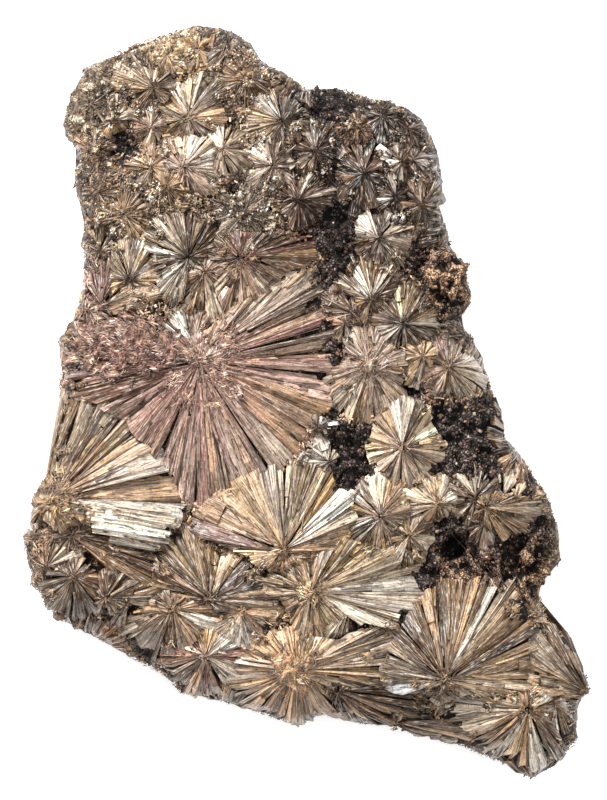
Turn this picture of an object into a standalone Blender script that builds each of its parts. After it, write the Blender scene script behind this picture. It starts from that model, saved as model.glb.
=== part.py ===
"""Pyrophyllite specimen: a slab of dark porous rock grown over with radiating crystal rosettes.

The specimen lies on its flat back at z = 0 with the crystals facing up. X runs across it and Y along
it, and the origin is under the middle of its outline. Lengths in the constants and tables below are in
millimetres, and MM turns them into Blender's metres when a mesh is made.
"""

import math
import random
from typing import NamedTuple

import bmesh
import bpy
from mathutils import Vector, noise
from mathutils.geometry import delaunay_2d_cdt

MM = 0.001
SEED = 7

# The rock slab. A share is a distance from the middle, as a part of the outline's distance that way.
SLAB_THICKNESS = 27.0  # height of the crystals' general level at the middle, before hills and hollows
WAIST_HEIGHT = 14.0  # height at which the outline is widest
EDGE_POWER = 6  # how late the top face rounds over towards the outline
SIDE_RINGS = ((0.0, 0.89), (5.0, 0.93), (14.0, 0.95))  # height and share of each ring up the rock's side
OUTER_SHARES = (0.93, 0.84)  # rings of the top face with a corner for each of the outline's
INNER_SHARES = (0.64, 0.44, 0.22)  # rings with fewer corners
INNER_EVERY = 3  # the outline's corners to each of theirs
GRAIN_HEIGHT = 0.5  # how far the rock's own roughness moves its surface
GRAIN_SIZE = 6.0

# The crystals.
CRUST_SHARE = 0.985  # share that the crystals' general level reaches at the waist
CRUST_DEPTH = 1.4  # how far the rock lies under the crystals' general level
CRUST_FOOT = 5.0  # height under which the sides have no crystals
CRUST_GAP = 0.35  # between the crystals and the rock under them
TURN_OVER = 6.0  # distance over which the crystals turn from facing up to facing outwards
TURN_EARLY = 0.8  # share of that turn which is done at the outline
RISE_SLOPE = 0.13  # how steeply a rosette climbs from its rim to its hub
RISE_LEAST = 0.9  # how far its hub stands up besides
BLADES_LEAST = 6
BLADES_PER_MM = 0.5  # further blades for each millimetre of radius
BLADE_SHARE = 0.84  # how much of its sector a blade's flat face fills
BLADE_STEP = 0.6  # how far neighbouring blades stand above or below each other
BLADE_STEP_SPREAD = (0.5, 1.5)  # least and most of that, as shares
BLADE_ROLL_SHARE = 0.5  # how far a blade's sides differ in height, as a share of the step
BLADE_TURN_SHARE = 0.1  # how far a blade is turned from the middle of its sector, as a share of it
RAGGED_SHARE = 0.10  # how much shorter than its room a blade may end
SEAM = 0.3  # from a blade's end to the line where the next rosette's room begins
REACH_STEP = 0.2  # how finely that line is looked for
SHOULDER_FROM = 14.0  # rosettes with a larger radius have a second ring of corners
SHOULDER_SHARE = 0.5  # how far out that ring is

# Rosettes that hang over the edge, one at every fourth corner of the outline.
EDGE_FIRST = 2
EDGE_EVERY = 4
EDGE_RADIUS = 8.0
EDGE_SPREAD = (0.85, 1.15)  # least and most of that, as shares
EDGE_BEYOND = 3.5  # how far past the waist their hubs are

# Bare rock between the rosettes, where the crystals' surface dips under the rock's.
BARE_DEPTH = 3.0
FOOT_DEPTH = 6.0  # the same at the foot of the sides, where the surface ends
BARE_SPACING = 4.0
BARE_CLEARANCE = 1.5
BARE_REACH = 1.4  # how far the search for it goes, as a share of the outline's furthest corner

# The outline seen from above, anticlockwise as x, y.
OUTLINE = (
    (39.0, -1.5), (36.5, 6.0), (33.0, 12.5), (30.5, 16.5), (33.5, 21.5), (32.0, 27.0), (28.5, 31.5),
    (27.0, 38.5), (27.0, 45.5), (26.0, 52.0), (23.0, 56.5), (19.5, 59.5), (12.0, 61.5), (6.5, 63.5),
    (0.0, 62.5), (-4.5, 66.0), (-9.0, 68.5), (-11.5, 72.5), (-16.0, 74.5), (-23.0, 75.5),
    (-29.5, 74.0), (-37.5, 71.0), (-44.0, 67.0), (-47.0, 61.5), (-49.0, 56.0), (-46.0, 50.5),
    (-46.0, 43.5), (-44.5, 36.5), (-44.5, 28.5), (-44.0, 19.0), (-49.0, 12.5), (-49.5, 3.5),
    (-49.5, -5.5), (-50.0, -14.5), (-53.5, -20.5), (-56.5, -27.5), (-55.0, -36.5), (-50.0, -43.5),
    (-42.0, -47.0), (-35.5, -51.5), (-28.5, -55.0), (-25.0, -59.0), (-16.0, -60.0), (-8.5, -63.0),
    (-1.5, -65.5), (3.5, -63.0), (12.0, -64.5), (20.5, -66.0), (30.0, -69.0), (39.5, -72.5),
    (45.5, -75.5), (50.0, -73.5), (55.0, -68.5), (54.5, -61.5), (56.5, -56.5), (54.0, -49.5),
    (48.5, -43.5), (47.0, -38.0), (51.0, -32.0), (51.0, -25.5), (48.5, -18.5), (44.5, -13.0),
    (39.5, -7.5),
)


class Swell(NamedTuple):
    """A soft hill (or, with a negative height, a hollow) in the specimen's face."""

    x: float
    y: float
    height: float
    spread: float


class Rosette(NamedTuple):
    """A fan of blades about a hub, seen from above."""

    name: str
    x: float
    y: float
    radius: float


class Lump(NamedTuple):
    """A round lump on the rock, or a pit in it, sunk or raised by its height against the face."""

    x: float
    y: float
    radius: float
    height: float


SWELLS = (
    Swell(-19.0, 6.0, 3.5, 20.0),  # the great fan
    Swell(-20.0, 52.0, 3.0, 15.0),  # the bright rosettes at the top
    Swell(-42.0, -22.0, 2.0, 13.0),
    Swell(-47.0, -36.0, 2.0, 7.0),
    Swell(-8.0, -44.0, 3.0, 17.0),
    Swell(28.0, -55.0, 4.0, 14.0),  # the great rosette at the lower right
    Swell(17.0, 12.0, 1.5, 12.0),
    Swell(2.0, 60.0, -4.0, 6.0),
    Swell(5.0, 35.0, -3.0, 5.0),
    Swell(6.0, 23.0, -2.0, 4.5),
    Swell(8.0, -11.0, -3.5, 8.0),
    Swell(27.0, -8.0, -2.5, 8.0),
    Swell(29.0, -29.0, -7.0, 8.0),  # the porous hollow under the small rosettes
    Swell(42.0, -32.0, -4.5, 8.0),
    Swell(-37.5, 52.0, -1.5, 4.0),
)

ROSETTES = (
    # The top.
    Rosette("shaded_top", -29.8, 63.1, 6.3),
    Rosette("bright_wide", -24.1, 56.0, 7.1),
    Rosette("bright_fan", -22.7, 46.7, 7.5),
    Rosette("pale_right", -15.6, 50.6, 7.1),
    Rosette("tan_hub", -11.8, 64.5, 5.9),
    Rosette("white_crown", -5.3, 56.0, 7.3),
    Rosette("olive_upright", -38.1, 57.1, 4.7),
    Rosette("small_left", -31.4, 50.4, 4.3),
    Rosette("gold_edge", -22.7, 70.4, 5.1),
    Rosette("rough_left", -30.6, 45.7, 5.9),
    Rosette("grey_fan", -21.3, 28.9, 9.9),
    Rosette("tan_left", -36.9, 38.4, 6.7),
    Rosette("grey_mottled", -11.4, 38.2, 5.9),
    Rosette("edge_top_left", -42.4, 61.5, 5.1),
    Rosette("edge_left", -42.8, 41.8, 5.1),
    Rosette("edge_left_low", -40.5, 27.5, 5.5),
    # The upper right.
    Rosette("mauve", 2.2, 50.0, 5.5),
    Rosette("bright_blade", -1.0, 40.2, 7.1),
    Rosette("orange_wide", 12.0, 45.3, 6.7),
    Rosette("white_left", 19.3, 48.1, 5.3),
    Rosette("inner_small", 18.2, 40.8, 4.3),
    Rosette("edge_olive", 23.5, 39.4, 5.1),
    Rosette("edge_top", 12.0, 56.0, 5.5),
    Rosette("edge_top_right", 21.1, 53.0, 3.9),
    Rosette("white_and_olive", 14.8, 32.5, 7.1),
    Rosette("grey_mottled_low", 14.0, 21.0, 5.9),
    Rosette("dark_star", 19.9, 15.3, 7.9),
    Rosette("pink_left", 10.5, 17.5, 6.3),
    Rosette("pink_hub", 13.6, 6.2, 9.9),
    Rosette("mauve_flower", 28.6, 6.8, 7.9),
    Rosette("cream_small", 23.5, 9.8, 4.3),
    Rosette("tan_flower", 18.8, -9.0, 8.3),
    # The middle, with the great fan.
    Rosette("red_long", -12.8, 28.5, 7.9),
    Rosette("drooping", -20.3, 23.0, 7.9),
    Rosette("pink_small", -22.7, 14.1, 6.3),
    Rosette("great_fan", -19.3, 7.8, 23.3),
    Rosette("cushion", -36.5, 10.2, 12.2),
    Rosette("left_edge_mid", -46.0, 11.2, 5.9),
    Rosette("left_edge_fan", -45.4, -3.7, 7.1),
    # The lower left.
    Rosette("gold_fan", -49.0, -18.9, 22.1),
    Rosette("grey_ball", -46.4, -35.6, 9.1),
    Rosette("brown_fan", -19.7, -39.2, 16.6),
    Rosette("white_fan", -52.3, -32.3, 5.9),
    Rosette("bottom_round", -26.3, -41.6, 11.1),
    Rosette("bottom_white", -12.2, -43.1, 8.7),
    Rosette("bottom_small", -20.1, -50.4, 9.1),
    Rosette("upper_spray", -3.4, -29.7, 15.8),
    Rosette("long_spray", 1.0, -37.6, 20.5),
    Rosette("peach_hub", -1.8, -53.4, 16.6),
    Rosette("fibre_strip", 13.2, -58.9, 9.9),
    Rosette("lower_edge", -36.5, -45.1, 6.7),
    # The lower right.
    Rosette("white_up", 14.8, -22.8, 8.3),
    Rosette("small_mid", 19.7, -26.7, 5.1),
    Rosette("grey_white", 33.6, -19.4, 7.1),
    Rosette("grey_oval", 40.9, -20.4, 8.3),
    Rosette("small_grey", 24.7, -19.4, 4.3),
    Rosette("small_pale", 29.0, -16.5, 4.3),
    Rosette("white_down", 35.9, -25.8, 4.7),
    Rosette("great_right", 28.0, -54.6, 18.2),
    Rosette("far_right", 48.8, -52.6, 9.1),
    Rosette("cream_right", 44.8, -61.7, 10.7),
    Rosette("edge_small", 52.7, -64.8, 5.1),
)

# Lumps that the rock carries where no crystals cover it, and pits in it.
LUMPS = (
    Lump(7.5, 32.5, 2.4, 0.2),
    Lump(4.0, 30.0, 1.8, -0.2),
    Lump(6.0, 12.0, 1.9, -0.2),
    Lump(2.5, 63.0, 2.0, -0.6),
    Lump(7.5, -13.5, 2.5, -0.3),
    Lump(4.5, -6.5, 2.1, -0.4),
    Lump(11.5, -15.0, 2.0, -0.4),
    Lump(8.5, -9.5, 1.7, -0.2),
    Lump(30.0, -6.0, 2.7, -0.3),
    Lump(34.5, -8.5, 2.3, -0.3),
    Lump(32.5, -11.5, 1.9, -0.3),
    Lump(40.0, -11.5, 2.4, -0.2),
    Lump(26.0, -31.5, 2.3, -0.2),
    Lump(33.5, -33.5, 2.2, -0.1),
    Lump(22.5, -33.0, 1.8, -0.2),
    Lump(44.5, -31.0, 2.8, -0.2),
    Lump(42.5, -38.0, 2.5, -0.2),
    Lump(37.5, -30.0, 1.8, -0.4),
    Lump(29.0, 24.5, 4.6, 0.0),  # the orange-brown lump on the right edge
    Lump(29.0, 18.0, 4.2, -0.2),
    Lump(25.5, 21.5, 3.4, -0.6),
)
PITS = (
    Lump(29.5, -27.5, 3.2, -1.0),
    Lump(26.0, -25.0, 2.4, -0.8),
    Lump(47.5, -35.0, 2.4, -0.6),
    Lump(38.5, -34.5, 2.5, -0.8),
    Lump(22.0, 3.0, 1.8, -0.8),
    Lump(10.5, -6.0, 2.0, -0.8),
    Lump(36.5, -5.0, 1.9, -1.2),
    Lump(30.5, 22.0, 1.6, 3.6),
    Lump(28.0, 17.5, 1.4, 3.4),
    Lump(5.5, 60.5, 1.9, -1.0),
)
ROUND_FROM = 3.0  # lumps with a larger radius are made with smaller faces
FINE_BALL = 2  # how often the faces of such a lump are divided
COARSE_BALL = 1
LUMP_ROUGHNESS = 0.3  # how far a lump's corners are moved, as a share of its radius
LUMP_GRAIN = 2.0  # radius of the ball on which that roughness is read
PARALLEL = 1e-9  # less than this, a direction and a side of the outline don't cross
CORNER_SLACK = 1e-6  # how far past a side's ends a direction may cross it
PLAN_MERGE = 1e-5  # distance under which corners of the crystals' plan are one
FILLED_PLAN = 1  # asks the triangulation for the inside of the plan's outer edges

ROCK_COLOUR = (0.045, 0.030, 0.022)
ROCK_ROUGHNESS = 0.9
CRYSTAL_COLOUR = (0.42, 0.33, 0.22)
CRYSTAL_ROUGHNESS = 0.4


def outline_radius(angle):
    """Distance from the middle to the outline in one direction."""
    direction = Vector((math.cos(angle), math.sin(angle)))
    for index, start in enumerate(OUTLINE):
        a = Vector(start)
        b = Vector(OUTLINE[(index + 1) % len(OUTLINE)])
        side = b - a
        cross = direction.x * side.y - direction.y * side.x
        if abs(cross) < PARALLEL:
            continue
        along = (a.x * side.y - a.y * side.x) / cross
        across = (a.x * direction.y - a.y * direction.x) / cross
        if along > 0 and -CORNER_SLACK <= across <= 1 + CORNER_SLACK:
            return along
    return max(math.hypot(*point) for point in OUTLINE)


def share_at(x, y):
    """Distance from the middle as a share of the outline's distance that way."""
    return math.hypot(x, y) / outline_radius(math.atan2(y, x))


def face_height(x, y):
    """Height of the rock's top face, which rounds over to the waist at the outline."""
    share = min(share_at(x, y), 1.0)
    rounding = math.sqrt(max(0.0, 1.0 - share**EDGE_POWER))
    swell = sum(
        s.height * math.exp(-((x - s.x) ** 2 + (y - s.y) ** 2) / (2 * s.spread**2)) for s in SWELLS
    )
    return WAIST_HEIGHT + (SLAB_THICKNESS - WAIST_HEIGHT + swell) * rounding


def grain(point):
    """Rough shift of a point on the rock, the same for the same place."""
    return GRAIN_HEIGHT * noise.noise_vector(point / GRAIN_SIZE)


def new_object(name, bm):
    """Make an object from a bmesh whose lengths are in millimetres."""
    bmesh.ops.scale(bm, vec=(MM, MM, MM), verts=bm.verts)
    bmesh.ops.recalc_face_normals(bm, faces=bm.faces)
    mesh = bpy.data.meshes.new(name)
    bm.to_mesh(mesh)
    bm.free()
    obj = bpy.data.objects.new(name, mesh)
    bpy.context.scene.collection.objects.link(obj)
    return obj


def bridge_rings(bm, lower, upper):
    """Join two rings of as many vertices with triangles."""
    count = len(lower)
    for i in range(count):
        j = (i + 1) % count
        bm.faces.new((lower[i], lower[j], upper[j]))
        bm.faces.new((lower[i], upper[j], upper[i]))


def face_ring(share, step=1):
    """Points of the rock's top face on a ring at one share of the outline."""
    points = []
    for x, y in OUTLINE[::step]:
        point = Vector((x * share, y * share, face_height(x * share, y * share) - CRUST_DEPTH))
        points.append(point + grain(point))
    return points


def add_inner_rings(bm, outer):
    """Continue the top face inwards with a third of the corners, and give back the last ring."""
    ring = [bm.verts.new(p) for p in face_ring(INNER_SHARES[0], INNER_EVERY)]
    for i, vertex in enumerate(ring):
        a, b, c, d = (outer[(INNER_EVERY * i + k) % len(outer)] for k in range(INNER_EVERY + 1))
        following = ring[(i + 1) % len(ring)]
        bm.faces.new((a, b, vertex))
        bm.faces.new((b, following, vertex))
        bm.faces.new((b, c, following))
        bm.faces.new((c, d, following))
    for share in INNER_SHARES[1:]:
        further = [bm.verts.new(p) for p in face_ring(share, INNER_EVERY)]
        bridge_rings(bm, ring, further)
        ring = further
    return ring


def make_slab(name, swelling=0.0):
    """The rock as one closed body, pushed out along its normals by the swelling."""
    bm = bmesh.new()
    rings = []
    for height, share in SIDE_RINGS:
        ring = [Vector((x * share, y * share, height)) for x, y in OUTLINE]
        rings.append([p + grain(p) if height else p for p in ring])
    rings += [face_ring(share) for share in OUTER_SHARES]
    vertex_rings = [[bm.verts.new(p) for p in ring] for ring in rings]
    for lower, upper in zip(vertex_rings, vertex_rings[1:]):
        bridge_rings(bm, lower, upper)
    inner = add_inner_rings(bm, vertex_rings[-1])
    top = bm.verts.new((0, 0, face_height(0, 0) - CRUST_DEPTH))
    for i, vertex in enumerate(inner):
        bm.faces.new((vertex, inner[(i + 1) % len(inner)], top))
    bm.faces.new(reversed(vertex_rings[0]))
    bmesh.ops.triangulate(bm, faces=[f for f in bm.faces if len(f.verts) > 3])
    bmesh.ops.recalc_face_normals(bm, faces=bm.faces)
    bm.normal_update()
    for vertex in bm.verts:
        vertex.co += vertex.normal * swelling
    return new_object(name, bm)


def make_ball(name, ball, swelling=0.0):
    """A rough round lump with its middle near the rock's face."""
    bm = bmesh.new()
    fineness = FINE_BALL if ball.radius > ROUND_FROM else COARSE_BALL
    bmesh.ops.create_icosphere(bm, subdivisions=fineness, radius=ball.radius + swelling)
    middle = Vector((ball.x, ball.y, face_height(ball.x, ball.y) + ball.height))
    for vertex in bm.verts:
        place = middle + LUMP_GRAIN * vertex.co.normalized()
        vertex.co += middle + LUMP_ROUGHNESS * ball.radius * noise.noise_vector(place)
    return new_object(name, bm)


def crust_point(x, y, level):
    """The point over (x, y) at a level above the crystals' general surface.

    Plan distances run on past the outline, where they count as distances down the side.
    """
    bearing = math.atan2(y, x)
    waist = outline_radius(bearing)
    distance = math.hypot(x, y)
    share = distance / waist
    outward = Vector((math.cos(bearing), math.sin(bearing), 0.0))
    point = min(share, 1.0) * CRUST_SHARE * waist * outward
    point.z = face_height(x, y) if share < 1 else WAIST_HEIGHT - (distance - waist)
    facing = min(max((distance - waist) / TURN_OVER + TURN_EARLY, 0.0), 1.0)
    normal = facing * outward + (1 - facing) * Vector((0.0, 0.0, 1.0))
    return point + level * normal.normalized()


def all_rosettes(rng):
    """The rosettes of the face, and those that hang over the edge all round."""
    rosettes = list(ROSETTES)
    for x, y in OUTLINE[EDGE_FIRST::EDGE_EVERY]:
        beyond = 1 + EDGE_BEYOND / math.hypot(x, y)
        radius = EDGE_RADIUS * rng.uniform(*EDGE_SPREAD)
        rosettes.append(Rosette("edge", x * beyond, y * beyond, radius))
    return rosettes


def near_rosettes(rosette, rosettes):
    """The other rosettes that are near enough to touch this one."""
    near = []
    for other in rosettes:
        apart = math.hypot(other.x - rosette.x, other.y - rosette.y)
        if other is not rosette and apart < other.radius + rosette.radius:
            near.append(other)
    return near


def blade_reach(rosette, near, angle):
    """How far a blade grows before it meets another rosette, the rosette's radius or the foot."""
    distance = REACH_STEP
    while distance < rosette.radius:
        x = rosette.x + distance * math.cos(angle)
        y = rosette.y + distance * math.sin(angle)
        if math.hypot(x, y) > outline_radius(math.atan2(y, x)) + WAIST_HEIGHT - CRUST_FOOT:
            break
        spare = distance - rosette.radius
        if any(math.hypot(x - n.x, y - n.y) - n.radius < spare for n in near):
            break
        distance += REACH_STEP
    return max(distance - SEAM, REACH_STEP)


class CrustPlan:
    """Corners of the crystals' surface and the edges that it must keep, in plan."""

    def __init__(self):
        self.places = []
        self.points = []
        self.edges = []

    def add(self, x, y, level):
        """Add a corner and give back its number."""
        self.places.append(Vector((x, y)))
        self.points.append(crust_point(x, y, level))
        return len(self.places) - 1

    def add_spoke(self, rosette, hub, angle, reach, step):
        """Add one long side of a blade, from the hub to the blade's end."""

        def corner(distance):
            climb = RISE_SLOPE * (rosette.radius - distance)
            level = climb + RISE_LEAST * (1 - distance / rosette.radius) + step
            x = rosette.x + distance * math.cos(angle)
            y = rosette.y + distance * math.sin(angle)
            return self.add(x, y, level)

        start = hub
        if rosette.radius > SHOULDER_FROM and reach > SHOULDER_SHARE * rosette.radius:
            start = corner(SHOULDER_SHARE * reach)
            self.edges.append((hub, start))
        self.edges.append((start, corner(reach)))

    def add_rosette(self, rng, rosette, near):
        """Add the blades of a rosette, each a flat face between two spokes."""
        hub = self.add(rosette.x, rosette.y, RISE_LEAST + RISE_SLOPE * rosette.radius)
        count = round(BLADES_LEAST + BLADES_PER_MM * rosette.radius)
        sector = 2 * math.pi / count
        turn = rng.uniform(0, sector)
        for index in range(count):
            middle = turn + (index + rng.uniform(-BLADE_TURN_SHARE, BLADE_TURN_SHARE)) * sector
            step = BLADE_STEP * rng.uniform(*BLADE_STEP_SPREAD) * (1 if index % 2 else -1)
            roll = BLADE_STEP * rng.uniform(-BLADE_ROLL_SHARE, BLADE_ROLL_SHARE)
            ragged = 1 - RAGGED_SHARE * rng.random()
            for side in (-1, 1):
                angle = middle + side * 0.5 * BLADE_SHARE * sector
                reach = ragged * blade_reach(rosette, near, angle)
                self.add_spoke(rosette, hub, angle, reach, step + side * roll)

    def add_bare_rock(self, rosettes):
        """Add sunk corners wherever no rosette grows, out to the foot of the sides."""
        steps = round(BARE_REACH * max(math.hypot(*point) for point in OUTLINE) / BARE_SPACING)
        for row in range(-steps, steps + 1):
            for column in range(-steps, steps + 1):
                x = (column + 0.5 * (row % 2)) * BARE_SPACING
                y = row * BARE_SPACING * math.sqrt(0.75)
                foot = outline_radius(math.atan2(y, x)) + WAIST_HEIGHT - CRUST_FOOT
                clear = all(
                    math.hypot(x - r.x, y - r.y) > r.radius + BARE_CLEARANCE for r in rosettes
                )
                if clear and math.hypot(x, y) < foot - BARE_CLEARANCE:
                    self.add(x, y, -BARE_DEPTH)

    def add_foot(self):
        """Add the sunk ring that ends the surface at the foot of the sides, and give it back."""
        ring = []
        for x, y in OUTLINE:
            reach = 1 + (WAIST_HEIGHT - CRUST_FOOT) / math.hypot(x, y)
            ring.append(self.add(x * reach, y * reach, -FOOT_DEPTH))
        self.edges += [(a, b) for a, b in zip(ring, ring[1:] + ring[:1])]
        return ring


def make_crust_body(rng):
    """The crystals' surface, closed underneath by a cone inside the rock."""
    rosettes = all_rosettes(rng)
    plan = CrustPlan()
    for rosette in rosettes:
        plan.add_rosette(rng, rosette, near_rosettes(rosette, rosettes))
    plan.add_bare_rock(rosettes)
    ring = plan.add_foot()
    triangulation = delaunay_2d_cdt(plan.places, plan.edges, [], FILLED_PLAN, PLAN_MERGE)
    places, _, faces, origins, _, _ = triangulation
    bm = bmesh.new()
    corners = []
    foot = {}
    for place, origin in zip(places, origins):
        point = plan.points[origin[0]] if origin else crust_point(place.x, place.y, 0.0)
        corners.append(bm.verts.new(point))
        foot.update((number, corners[-1]) for number in origin if number in ring)
    for face in faces:
        bm.faces.new([corners[i] for i in face])
    root = bm.verts.new((0, 0, CRUST_FOOT))
    for a, b in zip(ring, ring[1:] + ring[:1]):
        bm.faces.new((foot[b], foot[a], root))
    bmesh.ops.delete(bm, geom=[v for v in bm.verts if not v.link_faces], context="VERTS")
    return new_object("rosettes", bm)


def combine(target, operation, others):
    """Boolean the target with the other objects, keep the result in it and remove the others."""
    group = bpy.data.collections.new("operands")
    bpy.context.scene.collection.children.link(group)
    for other in others:
        bpy.context.scene.collection.objects.unlink(other)
        group.objects.link(other)
    modifier = target.modifiers.new("combine", "BOOLEAN")
    modifier.solver = "EXACT"
    modifier.operation = operation
    modifier.operand_type = "COLLECTION"
    modifier.collection = group
    graph = bpy.context.evaluated_depsgraph_get()
    result = bpy.data.meshes.new_from_object(target.evaluated_get(graph))
    target.modifiers.clear()
    target.data = result
    for other in others:
        bpy.data.objects.remove(other)
    bpy.data.collections.remove(group)


def body_volume(faces):
    """Volume in mm3 of a closed body given by its triangles."""
    total = 0.0
    for face in faces:
        a, b, c = (v.co for v in face.verts)
        total += a.dot(b.cross(c)) / 6
    return total / MM**3


def connected_faces(bm):
    """The faces of each separate body in a mesh. Bodies that only share an edge count as separate."""
    waiting = set(bm.faces)
    bodies = []
    while waiting:
        body = []
        edge_of_search = [waiting.pop()]
        while edge_of_search:
            face = edge_of_search.pop()
            body.append(face)
            shared = [edge for edge in face.edges if len(edge.link_faces) == 2]
            for other in {other for edge in shared for other in edge.link_faces}:
                if other in waiting:
                    waiting.discard(other)
                    edge_of_search.append(other)
        bodies.append(body)
    return bodies


def keep_main_body(obj):
    """Clear away slivers that the cuts have parted from the crust."""
    bm = bmesh.new()
    bm.from_mesh(obj.data)
    bmesh.ops.triangulate(bm, faces=bm.faces)
    bodies = sorted(connected_faces(bm), key=body_volume)
    for body in bodies[:-1]:
        bmesh.ops.delete(bm, geom=body, context="FACES")
    bmesh.ops.delete(bm, geom=[v for v in bm.verts if not v.link_faces], context="VERTS")
    bm.to_mesh(obj.data)
    bm.free()


def give_material(obj, name, colour, roughness):
    """Put a plain material on an object."""
    material = bpy.data.materials.new(name)
    material.use_nodes = True
    shader = material.node_tree.nodes["Principled BSDF"]
    shader.inputs["Base Color"].default_value = (*colour, 1.0)
    shader.inputs["Roughness"].default_value = roughness
    shader.inputs["Metallic"].default_value = 0.0
    material.diffuse_color = (*colour, 1.0)
    obj.data.materials.clear()
    obj.data.materials.append(material)


def make_matrix():
    """The rock: the slab with its lumps added and its pits cut."""
    matrix = make_slab("matrix")
    combine(matrix, "UNION", [make_ball(f"lump_{i}", lump) for i, lump in enumerate(LUMPS)])
    combine(matrix, "DIFFERENCE", [make_ball(f"pit_{i}", pit) for i, pit in enumerate(PITS)])
    keep_main_body(matrix)
    give_material(matrix, "iron_stained_rock", ROCK_COLOUR, ROCK_ROUGHNESS)
    return matrix


def make_rosettes():
    """The crust: every rosette in one solid, fitted over the rock."""
    crust = make_crust_body(random.Random(SEED))
    cutters = [make_slab("rock_cutter", CRUST_GAP)]
    cutters += [make_ball(f"lump_cutter_{i}", lump, CRUST_GAP) for i, lump in enumerate(LUMPS)]
    combine(crust, "DIFFERENCE", cutters)
    keep_main_body(crust)
    give_material(crust, "pearly_pyrophyllite", CRYSTAL_COLOUR, CRYSTAL_ROUGHNESS)
    return crust


def main():
    """Empty the scene and make the specimen's two solids."""
    for obj in list(bpy.data.objects):
        bpy.data.objects.remove(obj, do_unlink=True)
    noise.seed_set(SEED)
    make_matrix()
    make_rosettes()


main()
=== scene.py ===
"""Looks of a loose pyrophyllite specimen: pearly blades, crumbs, splinters and iron-stained rock.

Lengths in the tables and fields are in millimetres, seen from above with X to the right and Y up, and
MM turns them into the scene's metres. Directions are in degrees, anticlockwise from +X.
"""

import logging
import math
import random
from dataclasses import dataclass, field
from enum import Enum
from typing import Callable, Sequence

import bmesh
import bpy
import numpy as np
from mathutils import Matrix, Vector, noise


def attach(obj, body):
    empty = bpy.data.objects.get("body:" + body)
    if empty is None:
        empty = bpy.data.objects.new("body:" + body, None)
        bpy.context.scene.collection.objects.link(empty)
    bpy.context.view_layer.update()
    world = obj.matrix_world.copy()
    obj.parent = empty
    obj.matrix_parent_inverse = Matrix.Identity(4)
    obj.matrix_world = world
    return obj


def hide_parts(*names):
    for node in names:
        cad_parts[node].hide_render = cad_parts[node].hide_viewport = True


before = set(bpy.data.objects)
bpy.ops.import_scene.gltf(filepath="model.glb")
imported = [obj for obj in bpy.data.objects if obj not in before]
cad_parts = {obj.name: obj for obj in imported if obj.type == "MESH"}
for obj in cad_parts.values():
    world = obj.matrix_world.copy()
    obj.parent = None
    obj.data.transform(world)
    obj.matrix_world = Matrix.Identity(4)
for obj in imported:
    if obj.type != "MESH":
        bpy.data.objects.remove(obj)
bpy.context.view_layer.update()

LOG = logging.getLogger("pyrophyllite")
MM = 0.001
SEED = 7
LEAN = 0.09  # How steeply a fan of 7 mm or less may slope as a whole.
SMALL_FAN = 9.0  # A fan under this radius has stouter blades that differ more along their length.
BIG_ROOM = 12.0  # Petals with less room than this stand up more and are spaced out more.
LOWEST = 0.5  # Least height of crystals and grains over the flat back.

Array = np.ndarray
Piece = bpy.types.Object
Socket = bpy.types.NodeSocket
Triple = tuple[float, float, float]
Shape = tuple[tuple[float, float], ...]


def linear(red: int, green: int, blue: int) -> Triple:
    """Turn a screen colour of 0 to 255 into the linear colour that shaders take.

    Args:
        red: Red part.
        green: Green part.
        blue: Blue part.

    Returns:
        The linear colour.
    """
    parts = [c / 255 for c in (red, green, blue)]
    return tuple(c / 12.92 if c <= 0.04045 else ((c + 0.055) / 1.055) ** 2.4 for c in parts)


class Tone(Enum):
    """Colours that the crystals, their hubs and the rock take."""

    # The palest crystal colour, made whiter as a painted highlight for blades that glint.
    WHITE = linear(208, 197, 182)
    PALE = linear(182, 165, 143)
    CREAM = linear(180, 153, 119)
    TAN = linear(149, 120, 89)
    OLIVE = linear(122, 102, 69)
    GOLD = linear(150, 119, 74)
    MAUVE = linear(128, 94, 82)
    PINK = linear(166, 140, 124)
    GREY = linear(124, 109, 92)
    UMBER = linear(84, 63, 47)
    RUST = linear(120, 93, 70)
    WINE = linear(102, 64, 54)
    SOOT = linear(32, 26, 23)
    SLATE = linear(88, 76, 74)
    PEACH = linear(184, 145, 108)


WHITE, PALE, CREAM, TAN, OLIVE, GOLD, MAUVE, PINK, GREY, UMBER, RUST, WINE, SOOT, SLATE, PEACH = Tone
# Tones of the glinting blades: pale crystal with a painted highlight.
GLINT_TONES = (WHITE, PALE, WHITE)
DULL = (GREY, TAN, UMBER)
MOSSY = (OLIVE, TAN, GREY)


@dataclass(frozen=True)
class Sector:
    """A part of a fan whose blades differ from the rest.

    Attributes:
        start: Direction where it begins.
        end: Direction where it ends, anticlockwise from the start.
        tones: Tones of its blades.
        width: Width of a blade's end, or 0 for the fan's own.
        lift: How far its blades stand over the rest.
    """

    start: float
    end: float
    tones: tuple[Tone, ...]
    width: float = 0.0
    lift: float = 0.0

    def holds(self, direction: float) -> bool:
        """Say whether a direction in degrees is inside the sector."""
        return (direction - self.start) % 360 <= (self.end - self.start) % 360


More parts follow.
